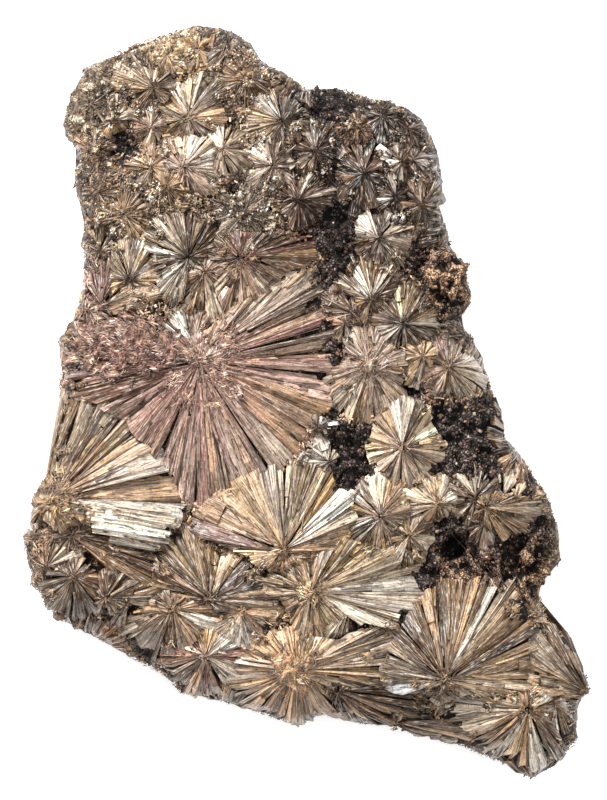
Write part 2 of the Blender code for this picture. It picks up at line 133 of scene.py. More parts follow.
@dataclass(frozen=True)
class Fan:
    """A rosette or spray of blades about a hub.

    Attributes:
        name: What it is called.
        x: Place of the hub.
        y: Place of the hub.
        shape: How far its blades reach, as directions and distances in turn.
        tones: Tones of its blades.
        width: Width of a blade's end.
        hub: Share of the radius that is crumbs.
        crumb: Tone of the crumbs.
        sectors: Parts that differ.
        dome: How far it bulges, as a share of its radius.
        lift: How far it stands over its neighbours.
    """

    name: str
    x: float
    y: float
    shape: Shape
    tones: tuple[Tone, ...] = (TAN, CREAM, GREY)
    width: float = 1.1
    hub: float = 0.14
    crumb: Tone = TAN
    sectors: tuple[Sector, ...] = ()
    dome: float = 0.0
    lift: float = 0.0

    @property
    def radius(self) -> float:
        """The furthest that its blades reach."""
        return max(reach for _, reach in self.shape)

    @property
    def lean(self) -> tuple[float, float]:
        """How steeply the whole fan rises to the right and up.

        Returns:
            The rise to the right and the rise up, for each millimetre.
        """
        rng = random.Random(self.name)
        most = LEAN * min(1.0, 7 / self.radius)
        return rng.gauss(0, most), rng.gauss(0, most)

    def reach(self, direction: Array) -> Array:
        """Give how far the blades would reach in some directions, in degrees."""
        turns, reaches = zip(*sorted((turn % 360, reach) for turn, reach in self.shape))
        return np.interp(direction, turns, reaches, period=360)

    def part(self, direction: float) -> Sector:
        """Give the sector that holds a direction, or one with the fan's own tones.

        Args:
            direction: Direction from the hub, in degrees.

        Returns:
            The sector.
        """
        for sector in self.sectors:
            if sector.holds(direction):
                return sector
        return Sector(0, 360, self.tones)


@dataclass(frozen=True)
class Spot:
    """A round place on the face, such as a bare patch, a lump or a pit.

    Attributes:
        x: Its middle.
        y: Its middle.
        radius: Its size.
        height: How far it rises over the rock, or falls.
    """

    x: float
    y: float
    radius: float
    height: float = 0.0


def spots(*rows: tuple[float, ...]) -> tuple[Spot, ...]:
    """Make the spots of a table."""
    return tuple(Spot(*row) for row in rows)


def placed(name: str, data: bpy.types.ID) -> Piece:
    """Make an object of a mesh, light or camera, and add it to the scene.

    Args:
        name: Name of the object.
        data: What it shows.

    Returns:
        The object.
    """
    piece = bpy.data.objects.new(name, data)
    bpy.context.scene.collection.objects.link(piece)
    return piece


def from_bmesh(name: str, bm: bmesh.types.BMesh) -> Piece:
    """Make an object of a bmesh, which is freed.

    Args:
        name: Name of the object and its mesh.
        bm: The shape.

    Returns:
        The object, in the scene.
    """
    mesh = bpy.data.meshes.new(name)
    bm.to_mesh(mesh)
    bm.free()
    return placed(name, mesh)


def steadied(bm: bmesh.types.BMesh, kept: set[bmesh.types.BMFace]) -> None:
    """Renew a shape's later faces in a fixed order, because operators may begin them at any corner.

    Args:
        bm: The shape.
        kept: Its earlier faces, which stay.
    """
    bm.verts.index_update()
    later = [face for face in bm.faces if face not in kept]
    rings = []
    for face in later:
        ring = list(face.verts)
        first = min(range(len(ring)), key=lambda place: ring[place].index)
        ring = ring[first:] + ring[:first]
        rings.append(ring if ring[1].index < ring[-1].index else ring[:1] + ring[:0:-1])
    bmesh.ops.delete(bm, geom=later, context="FACES_ONLY")
    for ring in sorted(rings, key=lambda ring: [corner.index for corner in ring]):
        bm.faces.new(ring)


def all_round(radius: float) -> Shape:
    """Give the shape of a fan that reaches equally far all round."""
    return ((0, radius),)


def bell(x: Array, y: Array, middle_x: float, middle_y: float, spread: float) -> Array:
    """Give how near some places are to a middle, from 1 there towards 0 far off."""
    return np.exp(-((x - middle_x) ** 2 + (y - middle_y) ** 2) / spread)


def painted_shadow(x: Array, y: Array) -> Array:
    """Give how far some places are inside the painted shadow spots between the fans, from 0 to about 1."""
    return np.max([bell(x, y, spot.x, spot.y, spot.radius**2) for spot in PAINTED_SHADOWS], axis=0)


def waves(x: Array, y: Array, layer: float, size: float) -> Array:
    """Give a smooth chance pattern at some places.

    Args:
        x: Places.
        y: Places.
        layer: Which of the patterns it is.
        size: How broad its waves are.

    Returns:
        Its values, from about -0.5 to 0.5.
    """
    noise.seed_set(SEED)
    return np.array([noise.noise(Vector((a, b, layer)) / size) for a, b in zip(x, y)])


def shaded(colour: Array, x: Array, y: Array) -> Array:
    """Make colours lighter or darker as the face is at some places, dark ones more than white ones.

    Args:
        colour: Linear colours.
        x: Places.
        y: Places.

    Returns:
        The changed colours.
    """
    powers = sum(bell(x, y, sx, sy, s**2)[..., None] * np.array(rgb) for sx, sy, s, *rgb in SHADES)
    # Painted shade: colours are darkened further in the painted shadow spots between the fans.
    powers = powers - (1.0, 1.1, 1.15) * painted_shadow(x, y)[..., None]
    hold = np.clip(1.3 - 2.2 * colour.mean(axis=-1, keepdims=True), 0.12, 1.3)
    return np.clip(colour * np.exp(powers * hold), 0, 1)


def spray(start: float, end: float, reach: float, rest: float = 1.6) -> Shape:
    """Give the shape of a fan whose blades only point some ways.

    Args:
        start: Direction where its blades begin.
        end: Direction where they end, anticlockwise from the start.
        reach: How far they reach.
        rest: How far the others reach.

    Returns:
        The shape.
    """
    return ((start - 9, rest), (start, reach), (end, reach), (end + 9, rest))


OUTLINE = (
    (39, -1.5), (36.5, 6), (33, 12.5), (30.5, 16.5), (33.5, 21.5), (32, 27), (28.5, 31.5), (27, 38.5),
    (27, 45.5), (26, 52), (23, 56.5), (19.5, 59.5), (12, 61.5), (6.5, 63.5), (0, 62.5), (-4.5, 66),
    (-9, 68.5), (-11.5, 72.5), (-16, 74.5), (-23, 75.5), (-29.5, 74), (-37.5, 71), (-44, 67), (-47, 61.5),
    (-49, 56), (-46, 50.5), (-46, 43.5), (-44.5, 36.5), (-44.5, 28.5), (-44, 19), (-49, 12.5), (-49.5, 3.5),
    (-49.5, -5.5), (-50, -14.5), (-53.5, -20.5), (-56.5, -27.5), (-55, -36.5), (-50, -43.5), (-42, -47),
    (-35.5, -51.5), (-28.5, -55), (-25, -59), (-16, -60), (-8.5, -63), (-1.5, -65.5), (3.5, -63),
    (12, -64.5), (20.5, -66), (30, -69), (39.5, -72.5), (45.5, -75.5), (50, -73.5), (55, -68.5),
    (54.5, -61.5), (56.5, -56.5), (54, -49.5), (48.5, -43.5), (47, -38), (51, -32), (51, -25.5),
    (48.5, -18.5), (44.5, -13), (39.5, -7.5),
)

# Hills and hollows of the whole face: x, y, height, spread.
SWELLS = (
    (-19, 6, 3.5, 20), (-20, 52, 3, 15), (-42, -22, 2, 13), (-47, -36, 2, 7), (-8, -44, 3, 17),
    (28, -55, 4, 14), (17, 12, 1.5, 12), (2, 60, -4, 6), (5, 35, -3, 5), (6, 23, -2, 4.5), (8, -11, -3.5, 8),
    (27, -8, -2.5, 8), (29, -29, -7, 8), (42, -32, -4.5, 8), (-37.5, 52, -1.5, 4),
)

# Creases: x and y of both ends, how wide and how deep.
FOLDS = (
    (-32.6, 3.3, -36.5, -2.7, 1.3, 2.8), (-29.6, 2, -31.8, -1.2, 0.9, 2), (-48.8, 10.3, -40.5, 10, 0.7, 1.6),
    (-23.7, 7.8, -20.7, 1.3, 0.7, 1.8), (-24, 7, -31, 4, 1.6, 1.8), (-41.9, -27.9, -26.6, -28.9, 1.3, 2.2),
    (-19.4, -7.6, -19.4, -18.4, 0.6, 1.2), (-3.2, 59.5, -3.2, 56.5, 1.1, 2.2),
    (-3.6, 49.6, -3.6, 39.8, 0.9, 2), (-26.6, 62, -24, 60, 1.4, 2), (29.6, -57, 33.4, -58.4, 0.8, 1.4),
    (14.8, -57.6, 32, -60, 0.9, 1.2), (-34.6, -2.4, -28.2, -12, 0.7, 1.4), (-25, -17.5, -18, -19, 0.8, 1.4),
    (-11.8, -16, -1, -9, 0.7, 1.2), (-48, -24.5, -30.6, -29, 1, 1.4), (-26.8, -37, -19.5, -39.4, 0.8, 1.4),
    (-4.6, -31, -2.4, -29.6, 1.2, 2.4), (-16, 23, -22, 17, 0.8, 1.6), (-37.4, 19.6, -34, 15.6, 0.9, 1.6),
    (45.4, -46, 45.4, -57, 0.6, 1), (7.2, 49, 4.6, 44, 0.9, 1.8), (9.8, 39, 12.8, 36.6, 0.8, 1.6),
    (-21.8, 30.8, -23.6, 28.2, 0.9, 1.8),
)

TOP_FANS = (
    Fan("shaded_top", -30.2, 62.5, ((90, 6.5), (117, 7.3), (175, 6.7), (225, 5.3), (300, 2.4), (30, 2.6)),
        (OLIVE, UMBER, TAN, PALE), 0.8, 0.14, UMBER),
    Fan("bright_wide", -23.3, 56.4, ((0, 6.9), (13, 6.9), (45, 8.7), (70, 8.3), (96, 5.5), (161, 6.3),
        (194, 7.3), (270, 5), (320, 6.5)), (TAN, CREAM, OLIVE), 1.3, 0.1, PALE,
        (Sector(30, 88, (PALE, CREAM, GREY), 1.7), Sector(88, 104, GLINT_TONES, 1, 0.4),
        Sector(0, 30, (TAN, UMBER, CREAM)), Sector(255, 345, (WHITE, PALE, TAN)))),
    Fan("bright_fan", -23.9, 46.5, ((0, 7.9), (34, 9.1), (63, 7.4), (90, 8), (146, 5.7), (180, 3.8),
        (250, 5), (311, 6.3)), (PALE, PINK, TAN), 1.2, 0.2, PINK,
        (Sector(0, 105, (WHITE, WHITE, CREAM), 1.3), Sector(105, 180, (WHITE, TAN)))),
    Fan("pale_right", -16.4, 50, ((90, 5.9), (143, 4.2), (200, 3.5), (270, 5.3), (346, 5.5), (30, 4)),
        (PALE, PINK, TAN), 0.9, 0.14, PINK, (Sector(80, 110, GLINT_TONES, 1, 0.3),)),
    Fan("tan_hub", -11.8, 64.5, all_round(5.2), (TAN, RUST, UMBER), 0.7, 0.5, TAN),
    Fan("white_crown", -4.7, 56, ((90, 5.5), (125, 6.4), (180, 7.2), (220, 6.7), (285, 4.3), (20, 4)),
        (CREAM, TAN, PALE), 0.9, 0.12, UMBER, (Sector(108, 145, GLINT_TONES, 1.2, 0.4),
        Sector(0, 105, (OLIVE, UMBER)))),
    Fan("cream_rough", -6.5, 46.7, ((102, 6.4), (140, 6.2), (180, 5.7), (230, 5.2), (0, 2.4)),
        (CREAM, PALE, WHITE), 0.9, 0.35, PINK, (Sector(98, 122, GLINT_TONES, 1.9, 0.5),)),
    Fan("olive_upright", -37.9, 56, spray(58, 122, 4.9), (OLIVE, GOLD, PALE), 1.5, 0.1, UMBER, (), 0, 0.8),
    Fan("small_left", -30.6, 54.6, all_round(4.2), (PALE, PINK, TAN), 0.9, 0.2, PINK),
    Fan("gold_edge", -21.5, 70.6, ((60, 4.4), (135, 5.2), (200, 5), (270, 3.2)), (GOLD, OLIVE, CREAM), 1.3,
        0.2, PEACH),
    Fan("edge_crumbs", -27.6, 69.2, all_round(4.2), (CREAM, TAN), 0.6, 0.8, CREAM),
    Fan("edge_grey", -15.2, 71.4, all_round(4.4), DULL, 0.8, 0.6, GREY),
    Fan("rough_left", -30.6, 46.7, all_round(4.6), (PALE, CREAM, TAN), 0.9, 0.35, TAN,
        (Sector(205, 245, GLINT_TONES, 1.4, 0.3),)),
    Fan("fine_tan", -27.6, 42.6, ((310, 7), (0, 5), (90, 3.5), (220, 4.5)), (TAN, GREY, CREAM), 0.5, 0.2,
        TAN),
    Fan("grey_fan", -23.1, 28.7, ((0, 2.2), (60, 10.5), (88, 10), (133, 11), (172, 8.5), (206, 8.4),
        (241, 8.1), (262, 8.7), (275, 3)), (GREY, UMBER, TAN), 0.8, 0.1, SOOT,
        (Sector(155, 186, (WHITE, GREY, PALE), 0.7), Sector(196, 265, (PALE, GREY, WHITE, UMBER), 0.7),
        Sector(95, 150, (GREY, OLIVE, PALE, UMBER)))),
    Fan("tan_left", -36.1, 37.2, all_round(6), (CREAM, TAN, RUST), 0.5, 0.35, CREAM),
    Fan("brown_laths", -34.9, 24.2, ((357, 7.3), (30, 8.4), (60, 8.8), (88, 8.7), (108, 8.1), (135, 3.5),
        (240, 2.5)), (TAN, UMBER, CREAM, OLIVE), 1.4, 0.1, UMBER),
    Fan("shell_bundle", -42, 17.9, spray(8, 32, 14.6, 2.5), (CREAM, PALE, TAN), 1, 0.08, MAUVE),
    Fan("left_uprights", -40.4, 19.2, spray(78, 118, 10.6, 2.5), (MAUVE, UMBER, PINK), 0.9, 0.1, MAUVE),
    Fan("left_olive", -41, 29.9, spray(55, 130, 5.4, 2), (OLIVE, UMBER, TAN), 1.1, 0.1, UMBER),
    Fan("grey_mottled", -12, 37.4, all_round(5.2), (GREY, PALE), 0.5, 0.8, GREY),
    Fan("edge_mottled", -42.8, 59.4, all_round(5.6), (GREY, CREAM, UMBER), 0.7, 0.8, GREY),
    Fan("edge_mottled_low", -42.5, 50, all_round(4.6), (TAN, UMBER, CREAM), 0.7, 0.6, TAN),
    Fan("edge_speckled", -41.2, 41.8, all_round(5), (CREAM, GREY, UMBER), 0.6, 0.7, TAN),
)

RIGHT_FANS = (
    Fan("white_flakes", 4.8, -12, spray(112, 196, 4.4, 0.8), GLINT_TONES, 1, 0.1, UMBER, (), 0, 0.6),
    Fan("white_bit", 2.6, -5, spray(290, 20, 3.6, 0.8), (WHITE, PALE, UMBER), 0.9, 0.1, UMBER, (), 0, 0.4),
    Fan("mauve_star", 2.2, 50, ((95, 5.7), (150, 4.2), (200, 4.6), (282, 5.4), (0, 3.8)),
        (MAUVE, TAN, PALE, UMBER), 0.6, 0.15, MAUVE, (Sector(85, 112, GLINT_TONES, 0.9, 0.3),)),
    Fan("olive_triangle", -1.2, 40.2, ((12, 7.3), (30, 4.5), (48, 6.7), (62, 6.8), (121, 5.3), (190, 4.2),
        (303, 4.2)), (OLIVE, TAN, MAUVE), 1.1, 0.1, UMBER, (Sector(5, 20, GLINT_TONES, 1.5, 0.7),
        Sector(57, 68, GLINT_TONES, 0.8, 0.6), Sector(40, 57, (OLIVE, GOLD), 1.6))),
    Fan("orange_wide", 11.6, 45.3, ((25, 7.9), (50, 5), (91, 6.3), (129, 7.6), (159, 5.6), (200, 4),
        (226, 5.4), (257, 6.3), (285, 6.3), (320, 5.4)), (UMBER, TAN, GREY), 1.9, 0.08, UMBER,
        (Sector(100, 168, (TAN, RUST, CREAM), 2.6, 0.3), Sector(80, 100, (PALE, GREY), 1.8, 0.5),
        Sector(200, 245, (RUST, UMBER)), Sector(0, 60, (OLIVE, UMBER), 2))),
    Fan("cream_patch", 10.3, 54.8, all_round(3.4), (CREAM, PEACH), 0.6, 0.9, PEACH),
    Fan("edge_top", 15.6, 57, all_round(4.8), (TAN, OLIVE, UMBER), 0.9, 0.2, UMBER),
    Fan("edge_rusty", 20.7, 54, all_round(4.4), (RUST, UMBER, PINK), 0.5, 0.4, MAUVE),
    Fan("white_left", 19.3, 47.9, ((155, 5.2), (105, 4.2), (60, 2.8), (0, 2.4), (253, 5.3), (205, 4)),
        (OLIVE, TAN, UMBER), 1, 0.12, TAN, (Sector(135, 175, GLINT_TONES, 1.3, 0.5),
        Sector(95, 118, GLINT_TONES, 0.9, 0.3), Sector(240, 262, GLINT_TONES, 0.8, 0.4))),
    Fan("edge_white", 21.6, 48.1, ((41, 6.2), (10, 5), (339, 5.8), (300, 3), (90, 2.4), (180, 1.5)),
        (PINK, TAN, UMBER), 1.1, 0.1, MAUVE, (Sector(28, 60, GLINT_TONES), Sector(325, 350, GLINT_TONES, 1.6, 0.4))),
    Fan("inner_small", 18, 40.8, ((132, 6.1), (88, 4.8), (180, 4), (0, 2.8), (270, 2.4)), (OLIVE, UMBER), 1,
        0.12, SOOT, (Sector(78, 100, GLINT_TONES, 0.8, 0.3), Sector(172, 192, GLINT_TONES, 0.7, 0.3))),
    Fan("edge_olive", 23.5, 39.4, ((61, 5), (131, 5.7), (180, 4.7), (0, 3.4), (262, 6), (276, 7), (291, 7),
        (310, 3.5)), (OLIVE, UMBER, TAN), 1.2, 0.12, RUST, (Sector(268, 296, (TAN, PALE, UMBER), 1.9, 0.3),
        Sector(54, 70, GLINT_TONES, 1, 0.4))),
    Fan("white_and_olive", 14.8, 32.5, ((0, 4.5), (44, 6.3), (71, 7.3), (90, 6.7), (119, 7.2), (152, 6.4),
        (195, 5.9), (252, 5.2), (281, 5)), (OLIVE, UMBER, PALE), 1.2, 0.1, UMBER,
        (Sector(143, 162, GLINT_TONES, 1.7, 0.5), Sector(108, 132, (PALE, WHITE, GREY), 1.4, 0.3),
        Sector(60, 76, (PALE, GREY)), Sector(180, 215, (CREAM, TAN)), Sector(20, 60, (PALE, WHITE, UMBER)))),
    Fan("tall_olive", 13.2, 20.4, ((47, 7.5), (62, 5.2), (86, 10.3), (99, 10.1), (113, 10.3), (128, 6),
        (146, 8.6), (160, 5), (250, 3), (0, 3)), (OLIVE, TAN, UMBER), 1.1, 0.08, UMBER,
        (Sector(106, 119, GLINT_TONES, 1, 0.5), Sector(82, 106, (OLIVE, CREAM, GOLD)),
        Sector(54, 70, GLINT_TONES, 1.1, 0.4), Sector(30, 54, (GREY, PALE)), Sector(132, 158, (PALE, GREY), 1.9),
        Sector(158, 200, (GOLD, OLIVE)))),
    Fan("dark_star", 19.5, 15.5, ((0, 9), (6, 9), (18, 5.5), (41, 6.8), (66, 6.7), (92, 6.9), (127, 6.2),
        (155, 6.1), (187, 5.1), (214, 5.3), (243, 5.2), (270, 5.8), (289, 5.4), (314, 6), (345, 6.5)),
        (OLIVE, UMBER, GREY), 1.2, 0.06, SOOT, (Sector(84, 100, (TAN, CREAM)),
        Sector(182, 222, GLINT_TONES, 1, 0.3), Sector(262, 276, GLINT_TONES, 0.9, 0.5),
        Sector(299, 306, GLINT_TONES, 0.6, 0.5), Sector(282, 299, (RUST, MAUVE)),
        Sector(352, 12, (CREAM, PALE, GOLD), 1.4, 0.4), Sector(150, 158, GLINT_TONES, 0.5, 0.3))),
    Fan("red_left", 9.7, 17.7, ((113, 4.5), (149, 7.3), (168, 6.5), (193, 5.3), (215, 2), (0, 1.8), (70, 2)),
        (RUST, UMBER, PINK), 0.9, 0.1, UMBER, (Sector(144, 154, GLINT_TONES, 0.8, 0.5),)),
    Fan("small_orange", 8.1, 15.6, ((217, 3.4), (255, 4.7), (276, 4.3), (300, 1.6), (120, 1.4), (190, 1.6)),
        (RUST, TAN), 1.2, 0.1, UMBER, (Sector(266, 285, GLINT_TONES, 1.2, 0.4),)),
    Fan("pink_hub", 13, 7.2, ((9, 6.2), (55, 7.2), (80, 8.4), (96, 8.9), (132, 8), (167, 6.2), (196, 9.4),
        (217, 11.4), (244, 11.6), (295, 8.7), (328, 7.6)), (PALE, TAN, CREAM), 1.5, 0.38, PINK,
        (Sector(88, 105, (PALE, OLIVE, WHITE), 1.5, 0.4), Sector(35, 75, (OLIVE, TAN)),
        Sector(124, 140, GLINT_TONES, 1, 0.3), Sector(150, 180, (UMBER, TAN)),
        Sector(205, 225, (WHITE, PALE), 2, 0.3), Sector(225, 262, (CREAM, PALE, GOLD), 1.5),
        Sector(315, 340, (PALE, GREY), 1.9, 0.3))),
    Fan("mauve_flower", 28.6, 6.8, ((5, 6.4), (48, 6), (90, 5.8), (180, 5), (270, 5.8), (329, 7)),
        (MAUVE, GREY, PINK), 1.3, 0.2, TAN, (Sector(340, 65, (WHITE, PALE, WHITE, TAN), 1.5, 0.4),
        Sector(250, 340, (GREY, PALE, OLIVE), 1.4))),
    Fan("cream_small", 23.5, 9, ((190, 4.9), (225, 6.1), (249, 5.3), (275, 3), (0, 1.8), (100, 2.6)),
        (CREAM, TAN), 1.2, 0.1, TAN, (Sector(180, 245, (WHITE, CREAM, GOLD), 1.6, 0.4),)),
    Fan("tan_flower", 19.3, -9.2, ((0, 9.3), (10, 9.3), (33, 8.3), (65, 7.9), (83, 7.9), (98, 7.9),
        (119, 7.4), (162, 6.4), (197, 6.8), (230, 5.4), (273, 7.4), (309, 6.9), (339, 7.8)),
        (TAN, PALE, CREAM), 1.7, 0.14, PINK, (Sector(92, 103, GLINT_TONES, 1.2, 0.5),
        Sector(76, 92, (PALE, WHITE), 1.6, 0.4), Sector(52, 76, (GREY, OLIVE)), Sector(20, 48, (TAN, CREAM)),
        Sector(352, 16, (GOLD, CREAM, PALE)), Sector(215, 250, (UMBER, GREY), 1),
        Sector(250, 290, (WHITE, PALE, TAN), 2, 0.3)), 0, 0.8),
)

MIDDLE_FANS = (
    Fan("great_fan", -21, 7.8, ((0, 26.3), (15, 27), (36, 30), (47, 26.5), (56, 14), (66, 7), (85, 5),
        (125, 5), (150, 15), (156, 21), (162, 25), (180, 27.3), (193, 27), (204, 22.5), (219, 18.2),
        (240, 18.5), (252, 21.3), (266, 28.4), (276, 27), (287, 26), (300, 25), (313, 25), (324, 26),
        (330, 24.8), (337, 27), (350, 26.5)), (MAUVE, PINK, TAN, PINK), 1.8, 0.34, MAUVE,
        (Sector(30, 60, (PALE, CREAM, PALE, OLIVE), 1.9), Sector(17, 30, (OLIVE, TAN, GREY), 1.2),
        Sector(2, 17, (TAN, MAUVE, PALE, GREY), 1.2), Sector(340, 2, (TAN, PINK, GOLD, MAUVE), 1.4),
        Sector(296, 340, (PALE, GREY, PALE, TAN), 2.2), Sector(268, 296, (PALE, PINK, TAN, MAUVE), 1.6),
        Sector(238, 268, (TAN, PINK, MAUVE, PALE), 1.3), Sector(190, 238, (MAUVE, PINK, TAN, WINE), 1.6),
        Sector(130, 150, (MAUVE, PINK, TAN), 0.9), Sector(150, 190, (MAUVE, PINK, TAN, WINE), 0.9))),
    Fan("pale_feather", -22.3, 11.2, ((45, 5), (60, 8.5), (100, 7.8), (150, 7.4), (165, 2.5), (270, 1.6),
        (10, 2.2)), (PINK, PALE, TAN), 0.6, 0.12, WINE, (Sector(95, 160, (WHITE, PINK, PALE), 0.6),
        Sector(50, 92, (TAN, RUST, PINK), 0.8))),
    Fan("red_long", -12.8, 28.5, ((357, 14.8), (12, 15.8), (20, 9), (40, 5.5), (90, 5), (170, 4.5), (200, 4),
        (240, 11), (268, 12.5), (300, 11.5), (320, 10), (345, 9.5)), (TAN, MAUVE, OLIVE), 1.1, 0.16, WINE,
        (Sector(4, 16, (WINE, MAUVE, RUST), 0.8, 0.3), Sector(352, 4, (GOLD, OLIVE, CREAM), 1, 0.2),
        Sector(225, 330, (CREAM, PALE, TAN, PINK), 1.5), Sector(16, 60, (GREY, OLIVE)))),
    Fan("drooping", -19.9, 25.6, ((238, 8.5), (262, 9), (290, 9.5), (310, 7), (350, 3), (90, 2), (200, 4.5)),
        (PALE, TAN, CREAM), 1.3, 0.14, MAUVE),
    Fan("gold_fan", -49.9, -19.4, ((330, 8), (334, 22.8), (353, 25), (0, 25.9), (9, 24.4), (17, 22.8),
        (30, 22.5), (38, 20.8), (47, 22), (64, 22), (75, 21.5), (86, 21.7), (95, 19), (104, 6), (180, 4),
        (250, 5), (320, 6)), (OLIVE, TAN, GOLD), 1.9, 0.24, RUST,
        (Sector(334, 354, (WHITE, WHITE, PALE), 3.2, 0.9), Sector(354, 6, (TAN, TAN, PEACH), 2.4, 0.2),
        Sector(6, 14, (PALE, WHITE, TAN), 1.4, 0.3), Sector(14, 31, (WHITE, PALE, WHITE, TAN), 1.8, 0.4),
        Sector(31, 39, (OLIVE, TAN), 2), Sector(39, 50, (UMBER, PEACH, UMBER), 1.1, 0.2),
        Sector(50, 60, (UMBER, OLIVE), 2), Sector(60, 76, (PALE, GREY, OLIVE), 2.2),
        Sector(76, 100, (GOLD, OLIVE, TAN), 1.4))),
    Fan("under_slab", -46.4, -26.6, spray(322, 350, 20, 3), (UMBER, TAN, SOOT), 0.8, 0.1, UMBER, (), 0,
        -1.2),
)

LEFT_FANS = (
    Fan("grey_ball", -46, -34.8, ((254, 8.8), (268, 9.3), (288, 8.5), (316, 7.7), (350, 6.1), (50, 3),
        (120, 3), (190, 7.3), (215, 7.9)), (GREY, UMBER, TAN, GREY), 0.9, 0.1, UMBER, (), 0.2),
    Fan("white_fan", -51.5, -32.9, ((28, 5.4), (60, 6.4), (80, 6.5), (121, 6.5), (170, 4.5), (230, 2.5),
        (320, 3)), (TAN, UMBER, RUST), 0.9, 0.1, UMBER, (Sector(10, 40, GLINT_TONES, 1.3, 0.4),
        Sector(40, 72, (PALE, WHITE, UMBER)))),
    Fan("left_grey", -39.7, -39.2, ((0, 12), (10, 11.2), (28, 10.3), (57, 9.4), (90, 7), (115, 3), (230, 2)),
        (GREY, PALE, TAN), 1.3, 0.08, UMBER, (Sector(350, 4, (UMBER, TAN)),
        Sector(40, 100, (GREY, CREAM, UMBER)))),
    Fan("brown_fan", -18.8, -39.2, ((355, 14.8), (3, 14.8), (30, 6), (53, 9.9), (72, 9.3), (95, 10.9),
        (103, 13.2), (107, 16.5), (117, 15.4), (140, 15.4), (153, 15.4), (163, 13.4), (176, 9), (190, 3),
        (300, 2.4)), (GREY, OLIVE, UMBER, SOOT), 1.4, 0.08, UMBER,
        (Sector(48, 98, (CREAM, TAN, GOLD), 2.2, 0.2), Sector(140, 170, (TAN, UMBER, RUST, CREAM), 1),
        Sector(350, 8, (TAN, OLIVE, CREAM, UMBER), 1))),
    Fan("bottom_round", -26.3, -41.4, ((0, 12.8), (330, 7.5), (306, 9.5), (286, 9.2), (261, 9), (248, 11.5),
        (223, 12.7), (207, 12.6), (192, 13.5), (178, 8), (161, 6.7), (120, 2.5), (40, 2.5)),
        (TAN, GREY, UMBER), 1.2, 0.1, TAN, (Sector(352, 6, (CREAM, TAN, OLIVE), 0.9),
        Sector(320, 345, (PALE, WHITE)), Sector(214, 262, (GREY, UMBER), 2),
        Sector(195, 214, (PALE, WHITE, UMBER)))),
    Fan("bottom_white", -12.6, -41.5, ((8, 9.9), (30, 3), (183, 7), (210, 6), (232, 8.3), (275, 8.5),
        (311, 7.3), (340, 4)), (CREAM, TAN, PALE), 1.3, 0.1, PEACH,
        (Sector(225, 280, (WHITE, WHITE, PALE), 1.7, 0.4), Sector(290, 330, (RUST, PINK, WHITE), 1))),
    Fan("bottom_small", -19.9, -50.6, ((10, 8.8), (43, 9.6), (60, 6), (90, 7.5), (117, 6.2), (148, 6.7),
        (189, 8.8), (210, 8.8), (239, 7.4), (270, 8.3), (297, 7.1), (322, 7.1), (350, 6.5)),
        (MAUVE, TAN, PALE), 1.2, 0.12, PINK, (Sector(2, 50, (WHITE, WHITE, PALE), 1.9, 0.4),
        Sector(70, 105, (CREAM, GOLD)), Sector(255, 285, (MAUVE, WINE, RUST)),
        Sector(295, 350, (PALE, WHITE, MAUVE)), Sector(175, 225, (PALE, GREY, UMBER), 0.8))),
    Fan("low_left_mix", -35.5, -40.2, spray(195, 262, 7.2), (PALE, WHITE, UMBER, TAN), 0.9, 0.1, UMBER),
    Fan("brown_edge", -40.3, -30.5, all_round(5), (UMBER, TAN, CREAM), 0.6, 0.6, TAN),
    Fan("left_wall", -53.6, -27, spray(150, 300, 5, 2.5), (UMBER, TAN, RUST), 0.8, 0.2, UMBER),
)

